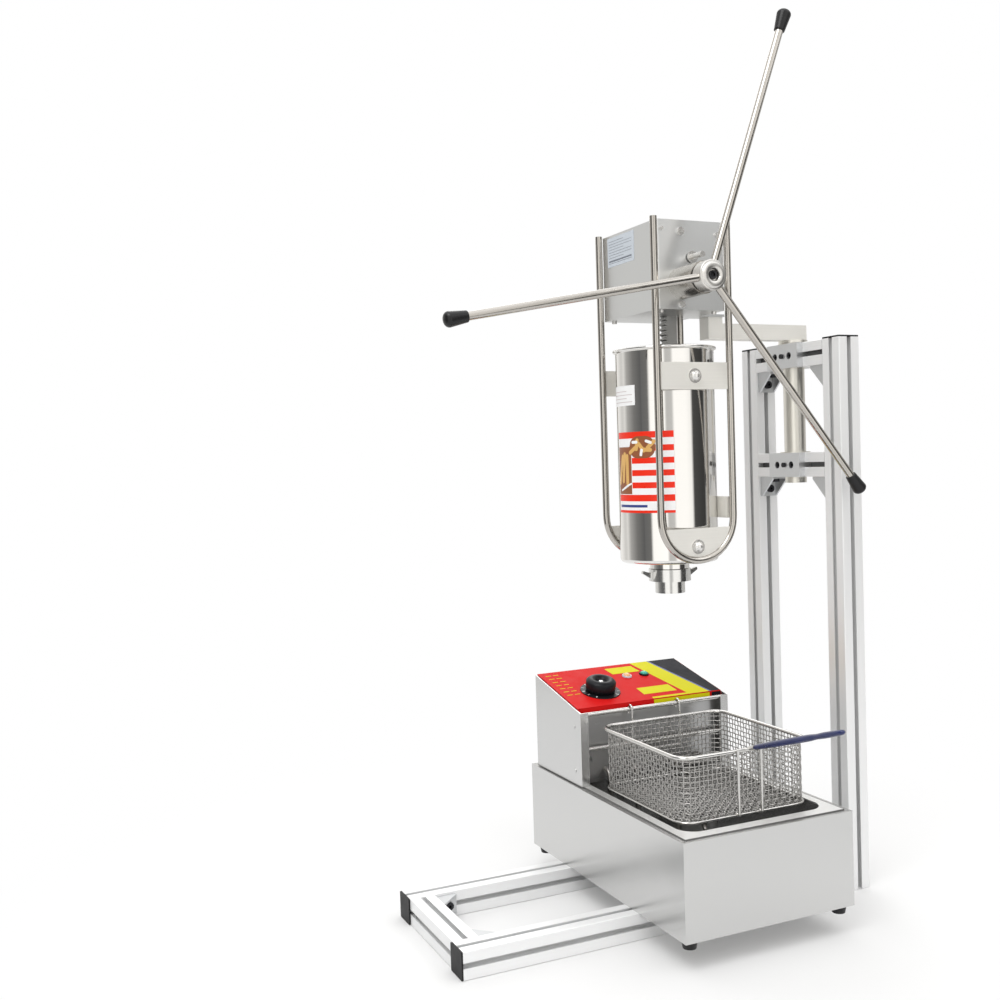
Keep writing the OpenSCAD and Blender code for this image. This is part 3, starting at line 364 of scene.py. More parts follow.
def pan_metal(name, colour, node):
    """Pressed pan: a satin flange that ends in a painted shadow line, and a glossier inside with painted
    shade below it.

    The line is where the smaller distance to a side of the box is under 1.0 to 1.4 mm, and the inside starts
    1.2 to 2.5 mm below its top.
    """
    f = Finish(name, colour, 0.85, 0.3)
    lines = f.noise(1.0, (40, 500, 40), 6)
    patch = f.noise(9.0)
    low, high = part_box(node)
    edge = [f.sum(f.sum(f.away(k, low, high), -1, "MULTIPLY"), (high[k] - low[k]) / 2) for k in (0, 1)]
    # Mask of the painted shadow line along the flange's rim
    line = f.spread(f.sum(edge[0], edge[1], "MINIMUM"), 0.25, 1.0, 0.0010, 0.0014)
    up = f.away(2, low, high)
    half = (high[2] - low[2]) / 2
    under = (half - 0.0025, half - 0.0012)
    f.gloss(f.spread(lines, -0.03, 0.03), f.spread(patch, -0.02, 0.02), f.spread(up, 0.22, 0.44, *under))
    wear = f.sum(f.spread(lines, 0.95, 1.0), f.spread(patch, 0.97, 1.0), "MULTIPLY")
    # Painted shadow line along the rim and painted shade on the inside below the flange, both towards black;
    # the wear noise is random tone
    f.tint(f.sum(f.sum(line, f.spread(up, 0.5, 1.0, *under), "MULTIPLY"), wear, "MULTIPLY"), BLACK, colour)
    f.bump(lines, 0.04, 0.00015)
    return f.mat


def moulded(name, colour, rough, grain, coat=0.0, vary=0.25, bump=0.2, ior=1.45):
    """Moulded plastic or rubber: fine pimples, a broad change of gloss and slightly dusty high spots."""
    f = Finish(name, colour, 0.0, rough, coat=coat, ior=ior)
    fine = f.noise(grain)
    broad = f.noise(25, detail=4)
    f.gloss(f.spread(broad, -0.08, 0.08), rough)
    light = tuple(min(1, c * (1 + vary) + 0.012 * vary) for c in colour)
    f.tint(f.sum(f.spread(broad, 0, 0.6), f.spread(fine, 0, 0.4)), shade(colour, 1 - vary / 2), light)
    f.bump(fine, bump, 0.0001)
    return f.mat


def printed(name, colour, rough, speck=0.06, shine=0.5):
    """Printed film: even ink with a faint screen, soft dents and a gloss that changes a little."""
    f = Finish(name, colour, 0.0, rough, coat=0.06 * shine, specular=shine, ior=1.3)
    ink = f.noise(1600, detail=2)
    dents = f.noise(45, detail=2)
    f.tint(f.sum(f.spread(ink, 0, 0.7), f.spread(dents, 0, 0.3)), shade(colour, 1 - speck), colour)
    f.gloss(f.spread(dents, -0.05, 0.05), rough)
    f.bump(dents, 0.03, 0.0002)
    return f.mat


def lens(name, colour):
    """Lamp lens: tinted, coated plastic with a fine relief and milky specks."""
    f = Finish(name, colour, 0.0, 0.12, coat=0.6, ior=1.49)
    cloud = f.noise(300)
    f.tint(f.spread(cloud, 0, 1), shade(colour, 0.75), colour)
    f.bump(f.noise(900, detail=2), 0.2, 0.0002)
    return f.mat


BLACK = (0.0, 0.0, 0.0)
GRAIN = {"x": (6, 900, 900), "y": (900, 6, 900), "z": (900, 900, 6), "round": (30, 30, 1100),
         "round_y": (30, 1100, 30), "cast": (260, 260, 260)}
MATS = {}


def finishes(look):
    """All materials of the part, made once."""
    steel = tuple(look.steel)
    tables = (
        # colour, roughness, grain, streak, smudge, bump, vary, metallic
        (metal, {
            "machined": ((0.72, 0.73, 0.74), 0.34, GRAIN["y"], 0.14, 0.06, 0.2, 0.08, 0.9),
            "cast": ((0.66, 0.67, 0.68), 0.46, GRAIN["cast"], 0.18, 0.1, 0.5, 0.14, 0.9),
            "bronze": ((0.70, 0.52, 0.28), 0.36, GRAIN["round"], 0.12, 0.1, 0.2, 0.15),
            "raw_z": ((0.80, 0.78, 0.72), 0.34, GRAIN["z"], 0.08, 0.08, 0.06, 0.06),
            "raw_x": ((0.90, 0.885, 0.84), 0.42, GRAIN["x"], 0.08, 0.06, 0.06, 0.06, 0.55),
            "sheet_z": (steel, 0.33, GRAIN["z"], 0.012, 0.02, 0.006, 0.02),
            "sheet_x": (steel, 0.33, GRAIN["x"], 0.012, 0.02, 0.006, 0.02),
            "turned": ((0.76, 0.76, 0.75), 0.16, GRAIN["round"], 0.10, 0.05, 0.25, 0.10),
            "turned_y": ((0.72, 0.705, 0.68), 0.30, GRAIN["round_y"], 0.10, 0.05, 0.25, 0.10),
            # Boss: the turned steel made darker and warmer, painted brown-grey reflection and shade
            "boss": ((0.52, 0.50, 0.465), 0.26, GRAIN["round_y"], 0.10, 0.05, 0.20, 0.10),
            "rod": ((0.52, 0.495, 0.46), 0.15, (70, 70, 70), 0.10, 0.08, 0.10, 0.10),
            "mirror_tube": ((0.80, 0.79, 0.77), 0.07, (14, 14, 700), 0.04, 0.04, 0.03, 0.05),
            "gear": ((0.44, 0.44, 0.43), 0.34, (40, 700, 40), 0.16, 0.14, 0.3, 0.25),
            "wire": ((0.70, 0.69, 0.67), 0.16, (120, 120, 120), 0.12, 0.12, 0.1, 0.14),
            # Mesh wires: a darker copy of the wire steel, painted shade for the mesh's shaded sides
            "weave": ((0.50, 0.49, 0.475), 0.24, (120, 120, 120), 0.12, 0.12, 0.1, 0.14),
            "oil_pan": ((0.50, 0.50, 0.495), 0.24, (14, 14, 500), 0.06, 0.06, 0.03, 0.06, 0.85),
            "element": ((0.40, 0.38, 0.36), 0.38, (90, 90, 90), 0.16, 0.2, 0.2, 0.3),
            "fryer": ((0.63, 0.63, 0.625), 0.24, (4, 160, 160), 0.015, 0.03, 0.002, 0.02, 0.92),
            # Darker copy of the fryer's sheet steel: painted shade for the head case in its recess
            "inner_sheet": ((0.48, 0.48, 0.48), 0.30, GRAIN["x"], 0.04, 0.04, 0.01, 0.06, 0.92),
            "bolt": ((0.76, 0.75, 0.73), 0.24, (160, 160, 160), 0.08, 0.08, 0.05, 0.08, 0.8),
            "black_oxide": ((0.05, 0.05, 0.055), 0.38, (160, 160, 160), 0.14, 0.12, 0.3, 0.3),
        }),
        # colour, roughness, pimples per metre, coat, vary, bump, ior
        (moulded, {
            "cap": ((0.011, 0.011, 0.012), 0.5, 700, 0.0, 0.25, 0.2, 1.3),
            "rubber": ((0.007, 0.007, 0.008), 0.36, 500, 0.0, 0.25, 0.2, 1.4),
            "knob": ((0.005, 0.006, 0.008), 0.36, 1200, 0.0, 0.25, 0.2, 1.3),
            "silicone": ((0.42, 0.06, 0.045), 0.4, 900),
            "grip": (tuple(look.grip), 0.32, 220, 0.4, 0.35, 0.25),
        }),
        # colour, roughness, speck, shine
        (printed, {
            "foil": ((0.60, 0.65, 0.71), 0.35),
            "foil_line": ((0.20, 0.22, 0.26), 0.35),
            "paper": ((0.93, 0.935, 0.94), 0.4),
            "paper_line": ((0.62, 0.55, 0.55), 0.4),
            "label_red": (tuple(look.label), 0.32),
            "label_brown": ((0.30, 0.11, 0.05), 0.32),
            "label_gold": ((0.80, 0.48, 0.16), 0.32, 0.2),
            "label_blue": ((0.05, 0.07, 0.25), 0.32),
            "panel_red": (tuple(look.panel), 0.5, 0.06, 0.15),
            "panel_yellow": ((0.66, 0.62, 0.008), 0.5, 0.06, 0.15),
            "panel_black": ((0.012, 0.012, 0.018), 0.5, 0.3, 0.2),
            "panel_white": ((0.82, 0.82, 0.80), 0.3),
        }),
        # colour
        (lens, {
            "lamp_orange": ((1.0, 0.50, 0.24),),
            "lamp_green": ((0.02, 0.50, 0.36),),
        }),
    )
    for make, rows in tables:
        for name, values in rows.items():
            MATS[name] = make(name, *values)


def dress(finish, *names):
    """Gives carried-over CAD nodes a finish."""
    for name in names:
        mesh = NODES[name].data
        mesh.materials.clear()
        mesh.materials.append(MATS[finish])


# ---------------------------------------------------------------- settings

def tone_setting(name, description, default):
    """Colour that a user would change."""
    return FloatVectorProperty(name=name, description=description, subtype="COLOR", default=default,
                               min=0, max=1)


class ChurroLook(PropertyGroup):
    """Colours and sizes that a user would change."""

    steel: tone_setting("Sheet steel", "Tone of the brushed sheet", (0.74, 0.75, 0.75))
    profile: tone_setting("Profiles", "Tone of the anodised profiles", (0.86, 0.865, 0.87))
    panel: tone_setting("Panel", "Ground of the control panel", (0.62, 0.010, 0.010))
    label: tone_setting("Label", "Stripes of the cylinder's label", (0.90, 0.035, 0.014))
    grip: tone_setting("Basket grip", "Dipped plastic of the basket's handle", (0.004, 0.012, 0.085))
    mesh_pitch: FloatProperty(name="Mesh pitch", description="Distance between the basket's wires",
                              default=0.0074, min=0.005, max=0.02, unit="LENGTH")
    mesh_wire: FloatProperty(name="Mesh wire", description="Diameter of the basket's mesh wires",
                             default=0.0017, min=0.0008, max=0.003, unit="LENGTH")
    basket_corner: FloatProperty(name="Basket corner", description="Radius of the basket's upright corners",
                                 default=0.024, min=0.005, max=0.05, unit="LENGTH")
    stripes: IntProperty(name="Label stripes", description="Red stripes on the cylinder's label",
                         default=6, min=4, max=12)


class CHURRO_OT_stand(Operator):
    """Anodised profiles, machined mast blocks, cast brackets, black bolts and end caps"""

    bl_idname = "churro.stand"
    bl_label = "Stand"

    def execute(self, context):
        alu = tuple(context.scene.churro_look.profile)
        # Each bar's slot shade factor for the painted shade in its slots, darkest in the upper and lower
        # cross members
        for axis, slot_shade, bars in (("x", 0.90, ("rail_near", "rail_far")),
                                 ("z", 0.74, ("upright_near", "upright_far")),
                                 ("y", 0.85, ("front_cross_member", "rear_cross_member")),
                                 ("y", 0.18, ("upper_cross_member", "lower_cross_member"))):
            for bar in bars:
                MATS["anodised_" + bar] = profile_metal("anodised_" + bar, alu, bar, axis, slot_shade)
                dress("anodised_" + bar, bar)
        dress("machined", "upper_mast_block", "lower_mast_block")
        dress("raw_z", "mast_bushes")
        dress("cast", "corner_brackets")
        dress("black_oxide", "bracket_bolts")
        dress("cap", "end_caps")
        return {"FINISHED"}


class CHURRO_OT_press(Operator):
    """Mast, hanger arm, gearbox, loops, straps and the parts inside the gearbox"""

    bl_idname = "churro.press"
    bl_label = "Press frame"

    def execute(self, context):
        dress("raw_z", "mast_tube")
        dress("raw_x", "hanger_arm", "strap_plates", "half_moon_plates", "side_clip")
        dress("sheet_x", "gearbox_base_plate", "gearbox_cover")
        dress("sheet_z", "gearbox_housing")
        dress("turned_y", "crank_shaft", "crank_hub")
        # The boss takes a darker, warmer copy of the turned steel: painted reflection and shade
        dress("boss", "shaft_boss")
        dress("bronze", "shaft_bushes")
        dress("rod", "frame_loop_near", "frame_loop_far", "guide_rod", "crank_arms")
        dress("bolt", "frame_bolts", "release_pin")
        dress("turned", "spout", "star_die", "ring_nut", "piston")
        dress("gear", "rack", "pinion")
        dress("silicone", "piston_seal")
        dress("foil", "rating_plate")
        return {"FINISHED"}


class CHURRO_OT_cylinder(Operator):
    """Polished dough cylinder with its rolled rim, rounded foot and threaded neck"""

    bl_idname = "churro.cylinder"
    bl_label = "Dough cylinder"

    def execute(self, context):
        low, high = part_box("cylinder")
        bottom, top, wall, foot_r, bead_r = CYL_BOTTOM, high.z, 0.002, 0.007, 0.00225
        neck_r, thread, pitch, bore = 0.0295, 0.0012, 0.0026, 0.0255
        a = np.linspace(0, np.pi / 2, 8)
        foot = np.stack([CYL_R + foot_r * (np.sin(a) - 1), bottom + foot_r * (1 - np.cos(a))], -1)
        b = np.linspace(-np.pi / 2, np.pi, 14)
        bead = np.stack([CYL_R + 0.0018 + bead_r * np.cos(b), top + bead_r * (np.sin(b) - 1)], -1)
        neck = []
        z = bottom - 0.011
        while z > low.z + 0.003:
            neck += [(neck_r, z), (neck_r - thread, z - 0.0011), (neck_r, z - 0.0022)]
            z -= pitch
        profile = np.concatenate([
            [(bore, low.z), (neck_r - 0.0005, low.z)], neck[::-1],
            [(neck_r + 0.0015, bottom - 0.0109), (neck_r + 0.0015, bottom - 0.0004)],
            foot, [(CYL_R, top - 0.006)], bead,
            [(CYL_R - wall, top - 0.001), (CYL_R - wall, bottom + 0.007), (CYL_R - 0.006, bottom + 0.003),
             (bore, bottom + 0.003), (bore, low.z)]])
        piece("dough_cylinder", [lathe(profile, (AXIS_X, 0, 0), "z", 192)], "mirror_tube", "extruder",
              ["cylinder"])
        return {"FINISHED"}


def on_cylinder(angle, height, lift):
    """Grid of points laid round the cylinder, lift above its skin."""
    r = CYL_R + lift
    return np.stack([AXIS_X + r * np.cos(angle), r * np.sin(angle), height], -1), grid_faces(*angle.shape)


def wrapped(u0, u1, v0, v1, lift, cols=24, rows=2):
    """Rectangle wrapped round the cylinder, from u0 to u1 in degrees and v0 to v1 in height."""
    u, v = sheet(u0, u1, v0, v1, cols, rows)
    return on_cylinder(np.radians(u), v, lift)


def wrapped_bar(u, v, length, width, turn, lift, cols=20, rows=7):
    """Round-ended bar wrapped round the cylinder: along it s, across it w sqrt(1 - e^2) in the end caps."""
    s, t = sheet(-1, 1, -1, 1, cols, rows)
    half, r = length / 2, width / 2
    x = s * half
    over = np.clip((np.abs(x) - (half - r)) / r, 0, 1)
    y = t * r * np.sqrt(np.clip(1 - over ** 2, 0, 1))
    c, n = math.cos(math.radians(turn)), math.sin(math.radians(turn))
    return on_cylinder(math.radians(u) + (x * c - y * n) / CYL_R, v + x * n + y * c, lift)


class CHURRO_OT_labels(Operator):
    """Striped label and small white label on the cylinder, and ruled lines on the bare foil plate"""

    bl_idname = "churro.labels"
    bl_label = "Labels"

    def execute(self, context):
        look = context.scene.churro_look
        slots = ("extruder", "red_label")
        a0, a1, z0, z1 = 166, 246, 0.615, 0.740
        cut, z_note = a0 + 28, 0.781
        ink = 0.0004
        base = [wrapped(a0, a1, z0, z1, 0.0003, 40), wrapped(152, 201, z_note, z_note + 0.031, 0.0003, 24)]
        film("label_paper", base, "paper", *slots, ["cylinder_labels"])
        short = look.stripes - 2
        pitch = 0.076 / short
        red = [wrapped(cut, a1, z1 - 0.030 - k * pitch, z1 - 0.030 - (k - 0.48) * pitch, ink, 30)
               for k in range(short)]
        red += [wrapped(a0, a1, z1 - low - size, z1 - low, ink, 40)
                for low, size in ((0, 0.010), (0.097, 0.010), (0.121, 0.004))]
        film("label_stripes", red, "label_red", *slots)
        brown = [wrapped(a0 + 0.6, cut - 0.8, z1 - 0.096, z1 - 0.023, ink),
                 wrapped_bar(a0 + 42, z1 - 0.024, 0.047, 0.034, 0, 0.0005)]
        film("label_picture", brown, "label_brown", *slots)
        gold = [wrapped_bar(a0 + 7 + 6.5 * k, z1 - 0.058 + 0.003 * (k % 2), 0.050, 0.0070, 76 + 7 * k, 0.0006)
                for k in range(3)]
        gold += [wrapped_bar(a0 + 30 + 6 * k, z1 - 0.024 + 0.004 * ((k * 2) % 3 - 1), 0.020, 0.0060,
                             35 + 47 * k, 0.0007) for k in range(5)]
        film("label_pastries", gold, "label_gold", *slots)
        cream = [wrapped_bar(a0 + 33 + 9 * k, z1 - 0.016 - 0.016 * (k % 2), 0.012, 0.0045, 80 * k, 0.0008)
                 for k in range(3)]
        cream += [wrapped_bar(a0 + 12 + 5 * k, z1 - 0.088 + 0.003 * k, 0.016, 0.0030, 20, 0.0007)
                  for k in range(3)]
        film("label_icing", cream, "paper", *slots)
        blue = [wrapped(a0 + 3, a0 + 48, z1 - 0.1165, z1 - 0.1125, ink, 40)]
        film("label_foot_line", blue, "label_blue", *slots)
        lines = [wrapped(156, 197 - 9 * (k % 2), z, z + 0.001, ink)
                 for k, z in enumerate(z_note + 0.005 + 0.0055 * np.arange(4))]
        film("label_rules", lines, "paper_line", *slots)
        low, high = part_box("rating_plate")
        x = low.x - 0.00015
        rules = []
        for k in range(9):
            z = high.z - 0.006 - 0.0043 * k
            y0, y1 = high.y - 0.004, low.y + (0.006 if k % 3 else 0.03)
            thick = 0.0024 if k == 7 else 0.0006
            line = [[x, y0, z], [x, y1, z], [x, y1, z - thick], [x, y0, z - thick]]
            rules.append((line, ONE_FACE))
        film("plate_rules", rules, "foil_line", "extruder", "plate_label")
        return {"FINISHED"}


def arm_lines():
    """Centre of the hub and direction of each crank arm."""
    hub = np.array([SHAFT[0], CRANK_Y, SHAFT[1]])
    return [(hub, np.array([math.cos(a), 0, math.sin(a)])) for a in ARM_ANGLES]


class CHURRO_OT_grips(Operator):
    """Black caps on the three crank arms: cones that widen to a round tip"""

    bl_idname = "churro.grips"
    bl_label = "Crank grips"

    def execute(self, context):
        parts = []
        tip = 0.008
        end = GRIP_LENGTH - tip
        s = np.concatenate([[0, 0.0003], np.linspace(0.0008, end, 20),
                            GRIP_LENGTH - tip * np.cos(np.linspace(0, np.pi / 2, 12))[1:]])
        r = 0.0080 + 0.0028 * np.clip(s / 0.027, 0, 1)
        r *= np.sqrt(np.clip(1 - np.clip((s - end) / tip, 0, 1) ** 2 * 0.995, 0, 1)) ** 0.8
        r[0], r[1] = r[2] - 0.0009, r[2] - 0.0002
        for hub, out in arm_lines():
            parts.append(tube(hub + out * (ARM_LENGTH - GRIP_LENGTH) + out * s[:, None], r, (0, 1, 0), 32))
        piece("crank_grip_rubbers", parts, "rubber", "crank", ["crank_grips"], 50)
        return {"FINISHED"}


class CHURRO_OT_arms(Operator):
    """Polished crank arms and smooth loops drawn as true round bars, with the turned crank hub and its screw
    """

    bl_idname = "churro.arms"
    bl_label = "Round bars"

    def execute(self, context):
        parts = [straight(hub + out * ARM_ENDS[0], hub + out * ARM_ENDS[1], 0.0060, 32)
                 for hub, out in arm_lines()]
        piece("crank_arm_bars", parts, "rod", "crank", ["crank_arms"])
        low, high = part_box("crank_hub")
        y0, y1, r, edge, bore = low.y, high.y, 0.0225, 0.0012, 0.0078
        place = (SHAFT[0], 0, SHAFT[1])
        a = np.linspace(0, np.pi / 2, 8)
        lip = np.stack([r + edge * (np.sin(a) - 1), y0 + 0.0042 - edge * np.cos(a)], -1)
        face = np.array([(bore, 0.0085), (0.0088, 0.0030), (0.0100, 0.0004), (0.0106, 0), (0.0168, 0),
                         (0.0176, 0.0003), (0.0196, 0.0028)]) + (0, y0)
        back = [(r, y1 - 0.0008), (r - 0.0008, y1), (bore, y1), (bore, y0 + 0.0085)]
        piece("crank_hub_turned", [lathe(np.concatenate([face, lip, back]), place, "y", 128)], "turned_y",
              "crank", ["crank_hub"])
        screw = np.array([(0, 0.0050), (0.0030, 0.0050), (0.0032, 0.0026), (0.0058, 0.0022), (0.0066, 0.0030),
                          (0.0066, 0.0075), (0, 0.0075)]) + (0, y0)
        piece("hub_screw", [lathe(screw, place, "y", 48)], "black_oxide", "crank")
        for side, node in ((-1, "frame_loop_near"), (1, "frame_loop_far")):
            low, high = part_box(node)
            half, y = (high.x - low.x) / 2 - LOOP_R, side * LOOP_Y
            ends = ((-half, high.z), (-half, low.z + LOOP_R), (half, low.z + LOOP_R), (half, high.z))
            path, _ = rounded_path([(AXIS_X + x, y, z) for x, z in ends], half - 1e-5, 0.006)
            piece(node + "_bar", [tube(path, LOOP_R, (0, 1, 0), 28)], "rod", "extruder",
                  [node], 60)
        return {"FINISHED"}


class CHURRO_OT_fryer(Operator):
    """Brushed fryer housing with folded edges, feet, oil pan, screen, head and heating element"""

    bl_idname = "churro.fryer"
    bl_label = "Fryer"

    def execute(self, context):
        dress("fryer", "fryer_housing", "head_cheeks")
        # The head case takes the darker copy of the sheet steel, painted shade in its recess
        dress("inner_sheet", "head_case")
        dress("rubber", "fryer_feet")
        MATS["oil_tank"] = pan_metal("oil_tank", (0.86, 0.86, 0.85), "oil_tank")
        dress("oil_tank", "oil_tank")
        dress("oil_pan", "screen_plate")
        dress("element", "heating_element")
        low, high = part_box("fryer_housing")
        a, b, w, z = 0.0006, 0.0078, 0.0006, high.z + 0.00006
        corners = ((a - w, a + w), (a + w, a - w), (b + w, b - w), (b - w, b + w))
        seams = []
        for x, sx in ((low.x, 1), (high.x, -1)):
            for y, sy in ((low.y, 1), (high.y, -1)):
                quad = [[x + sx * u, y + sy * v, z] for u, v in corners]
                seams.append((quad if sx * sy > 0 else quad[::-1], ONE_FACE))
        film("housing_mitres", seams, "gear", "fryer", "fryer_sheet")
        dress("wire", "hang_rail")
        return {"FINISHED"}


def on_panel(u, v, lift):
    """Point of the sloping panel: u from its left edge, v up the slope from its front, lift above it."""
    c, s = math.cos(PANEL_SLOPE), math.sin(PANEL_SLOPE)
    low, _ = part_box("control_panel")
    back = v - PANEL_DEPTH / c
    return np.stack([low.x + u, PANEL_BACK[0] + back * c - lift * s, PANEL_BACK[1] + back * s + lift * c], -1)


def panel_patch(corners, lift=FILM_LIFT):
    """Flat four-cornered patch of print: bilinear between its corners (u, v)."""
    c = np.array(corners, float)
    s, t = sheet(0, 1, 0, 1, 6, 6)
    s, t = s[..., None], t[..., None]
    p = (1 - s) * (1 - t) * c[0] + s * (1 - t) * c[1] + s * t * c[2] + (1 - s) * t * c[3]
    return on_panel(p[..., 0], p[..., 1], np.full(p.shape[:2], lift)), grid_faces(6, 6)


def fold_patch(u0, u1, h0, h1):
    """Flat patch on the panel's folded front edge, from u0 to u1 and h0 to h1 above the fold."""
    low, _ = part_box("control_panel")
    fold = PANEL_BACK[1] - PANEL_DEPTH * math.tan(PANEL_SLOPE)
    u, h = sheet(u0, u1, h0, h1, 8, 3)
    return np.stack([low.x + u, np.full(u.shape, PANEL_FRONT - 0.00115), fold + h], -1), grid_faces(8, 3)


def panel_lathe(u, v, profile, sides):
    """Profile of (radius, lift) turned round the panel's normal at (u, v)."""
    a, b, h, faces = turned(profile, sides)
    return on_panel(u + a, v + b, h), faces


class CHURRO_OT_panel(Operator):
    """Red, yellow and black panel film, black dial with ticks, and the two lamps"""

    bl_idname = "churro.panel"
    bl_label = "Control panel"

    def execute(self, context):
        dress("panel_red", "control_panel")
        on = ("head", "red_panel")
        w, d, drop = 0.2735, 0.1455, -0.0085
        yellow = [panel_patch(q) for q in ([(0.212, 0), (0.252, 0), (0.216, d), (0.181, d)],
                                           [(0.127, 0.109), (0.181, 0.109), (0.177, 0.134), (0.124, 0.134)],
                                           [(0.136, 0.019), (0.200, 0.019), (0.198, 0.045), (0.136, 0.045)],
                                           [(0.143, 0), (0.212, 0), (0.212, 0.006), (0.143, 0.006)])]
        yellow += [fold_patch(0.143, 0.212, drop, 0.0), fold_patch(0.212, 0.252, drop, 0.0)]
        film("panel_yellow_fields", yellow, "panel_yellow", *on)
        black = [panel_patch([(0.256, 0), (w, 0), (w, d), (0.220, d)]), fold_patch(0.256, w, drop, 0.0)]
        film("panel_black_field", black, "panel_black", *on)
        line = [panel_patch([(0.252, 0), (0.256, 0), (0.220, d), (0.216, d)])]
        film("panel_blue_line", line, "label_blue", *on)
        film("panel_hem", [fold_patch(0.0005, w, -0.0099, -0.0086)], "foil", *on)
        marks = []
        for i in range(7):
            for j in range(2):
                u, v, du, dv = 0.009 + 0.014 * j, 0.050 + 0.0135 * i, 0.010, 0.0016
                marks.append(panel_patch([(u, v), (u + du, v), (u + du, v + dv), (u, v + dv)]))
        film("panel_rules", marks, "panel_yellow", *on)
        u, v = KNOB_UV
        dial = panel_lathe(u, v, [(0.0052, 0.0016), (0.0331, 0.0016), (0.0335, 0.0022), (0.0331, 0.0031),
                                  (0.0052, 0.0031), (0.0052, 0.0016)], 96)
        piece("dial_plate", [dial], "knob", "head", ["pilot_lamps"])
        ticks = []
        for k in range(11):
            a = math.radians(-50 + 28 * k)
            c, s = math.cos(a), math.sin(a)
            half = 0.0005 if k % 2 else 0.0009
            q = [(u + r * c - e * half * s, v + r * s + e * half * c)
                 for r, e in ((0.0276, -1), (0.0322, -1), (0.0322, 1), (0.0276, 1))]
            ticks.append(panel_patch(q, 0.0033))
        film("dial_ticks", ticks, "panel_white", "head", "lamp_plastic")
        a = np.linspace(0, np.pi / 2, 10)
        bezel_profile = [(0.0064, 0.0017), (0.0085, 0.0017), (0.0085, 0.0030), (0.0077, 0.0042),
                         (0.0064, 0.0042), (0.0064, 0.0017)]
        dome = np.stack([0.0062 * np.cos(a), 0.0040 + 0.0034 * np.sin(a)], -1)
        for u, tone, bezel in ((0.147, "lamp_orange", "foil"), (0.181, "lamp_green", "knob")):
            ring = panel_lathe(u, 0.095, bezel_profile, 48)
            piece(tone + "_bezel", [ring], bezel, "head")
            body = panel_lathe(u, 0.095, np.concatenate([[(0, 0.0018), (0.0062, 0.0018)], dome]), 48)
            piece(tone + "_lens", [body], tone, "head")
        return {"FINISHED"}


class CHURRO_OT_knob(Operator):
    """Thermostat knob with a dished top and a bright centre"""

    bl_idname = "churro.knob"
    bl_label = "Thermostat knob"

    def execute(self, context):
        u, v = KNOB_UV
        s = np.linspace(0, 1, 40)
        dish = 0.0056 * np.sin(np.pi * np.clip(s * 1.25, 0, 1)) ** 0.7
        top = np.stack([0.0249 - 0.0215 * s, 0.0180 + dish + 0.0008 * (1 - s)], -1)
        body = np.concatenate([[(0.0, 0.0036), (0.0234, 0.0036), (0.0242, 0.0042), (0.0250, 0.0110)], top,
                               [(0.0, top[-1, 1])]])
        piece("knob_body", [panel_lathe(u, v, body, 144)], "knob", "knob",
              ["thermostat_knob"], 50)
        a = np.linspace(0, np.pi / 2, 8)
        stud = np.concatenate([[(0.0, 0.0184), (0.0042, 0.0184)],
                               np.stack([0.0042 * np.cos(a), 0.0192 + 0.0012 * np.sin(a)], -1)])
        piece("knob_centre", [panel_lathe(u, v, stud, 32)], "turned", "knob")
        return {"FINISHED"}


def basket_frame():
    """Inner corner (x0, x1, y0, y1) and (floor, rim) heights of the basket, from its CAD walls."""
    low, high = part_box("basket_walls")
    return low.x, high.x, low.y, high.y, low.z - 0.0018, high.z


def basket_loop(look, off, z, step):
    """Closed path with round corners at height z, off outside the basket's walls."""
    x0, x1, y0, y1, _, _ = basket_frame()
    x0, x1, y0, y1 = x0 - off, x1 + off, y0 - off, y1 + off
    return rounded_path([(x0, y0, z), (x1, y0, z), (x1, y1, z), (x0, y1, z)], look.basket_corner, step, True)


def wire_waves(path, normal, phase, radius):
    """The path repeated for each row of phases, waved along its normals so that wires pass over and under."""
    return path[None] + normal[None] * (radius * 0.9 * np.cos(np.pi * phase))[..., None]


def crossing_wires(lane, look):
    """Wires that go down one wall, across the floor and up the other, along x in lane 0 and y in lane 1."""
    x0, x1, y0, y1, z0, z1 = basket_frame()
    a0, a1, b0, b1 = (y0, y1, x0, x1) if lane else (x0, x1, y0, y1)
    pitch, r, corner = look.mesh_pitch, look.mesh_wire / 2, look.basket_corner
    places = np.arange(b0 + 0.004 + pitch / 2, b1 - 0.004, pitch)
    start, end, floor, top = a0 + BASKET_INSET, a1 - BASKET_INSET, z0 + BASKET_INSET, z1 - 0.004
    path, s = rounded_path([(start, 0, top), (start, 0, floor), (end, 0, floor), (end, 0, top)],
                           0.006, pitch / 2)
    normal = np.cross(tangents(path), [0, 1.0, 0])
    paths = wire_waves(path, normal, s[None] / pitch + np.arange(len(places))[:, None] + lane, r)
    # Where the corner is round, outer wires lie further in
    near = np.minimum(places - b0, b1 - places)
    pull = corner - np.sqrt(np.clip(corner ** 2 - np.clip(corner - near, 0, corner) ** 2, 0, None))
    mid = (a0 + a1) / 2
    scale = (a1 - a0 - 2 * pull) / (a1 - a0)
    paths[..., 0] = mid + (paths[..., 0] - mid) * scale[:, None]
    paths[..., 1] = places[:, None]
    order = [1, 0, 2] if lane else [0, 1, 2]
    normals = np.broadcast_to(normal, paths.shape)[..., order]
    return wires(paths[..., order], normals, np.array([0, 1.0, 0])[order], r)


def ring_wires(look):
    """Wires that go round the walls."""
    *_, z0, z1 = basket_frame()
    pitch, r = look.mesh_pitch, look.mesh_wire / 2
    heights = np.arange(z0 + 0.009, z1 - 0.007, pitch)
    path, s = basket_loop(look, -BASKET_INSET, 0, pitch / 2)
    normal = np.cross(tangents(path, True), [0, 0, 1.0])
    turns = round(s[-1] / pitch / 2) * 2
    paths = wire_waves(path, normal, s[None] / s[-1] * turns + np.arange(len(heights))[:, None] + 1, r)
    paths[..., 2] += heights[:, None]
    return wires(paths, np.broadcast_to(normal, paths.shape), np.array([0, 0, 1.0]), r, closed=True)


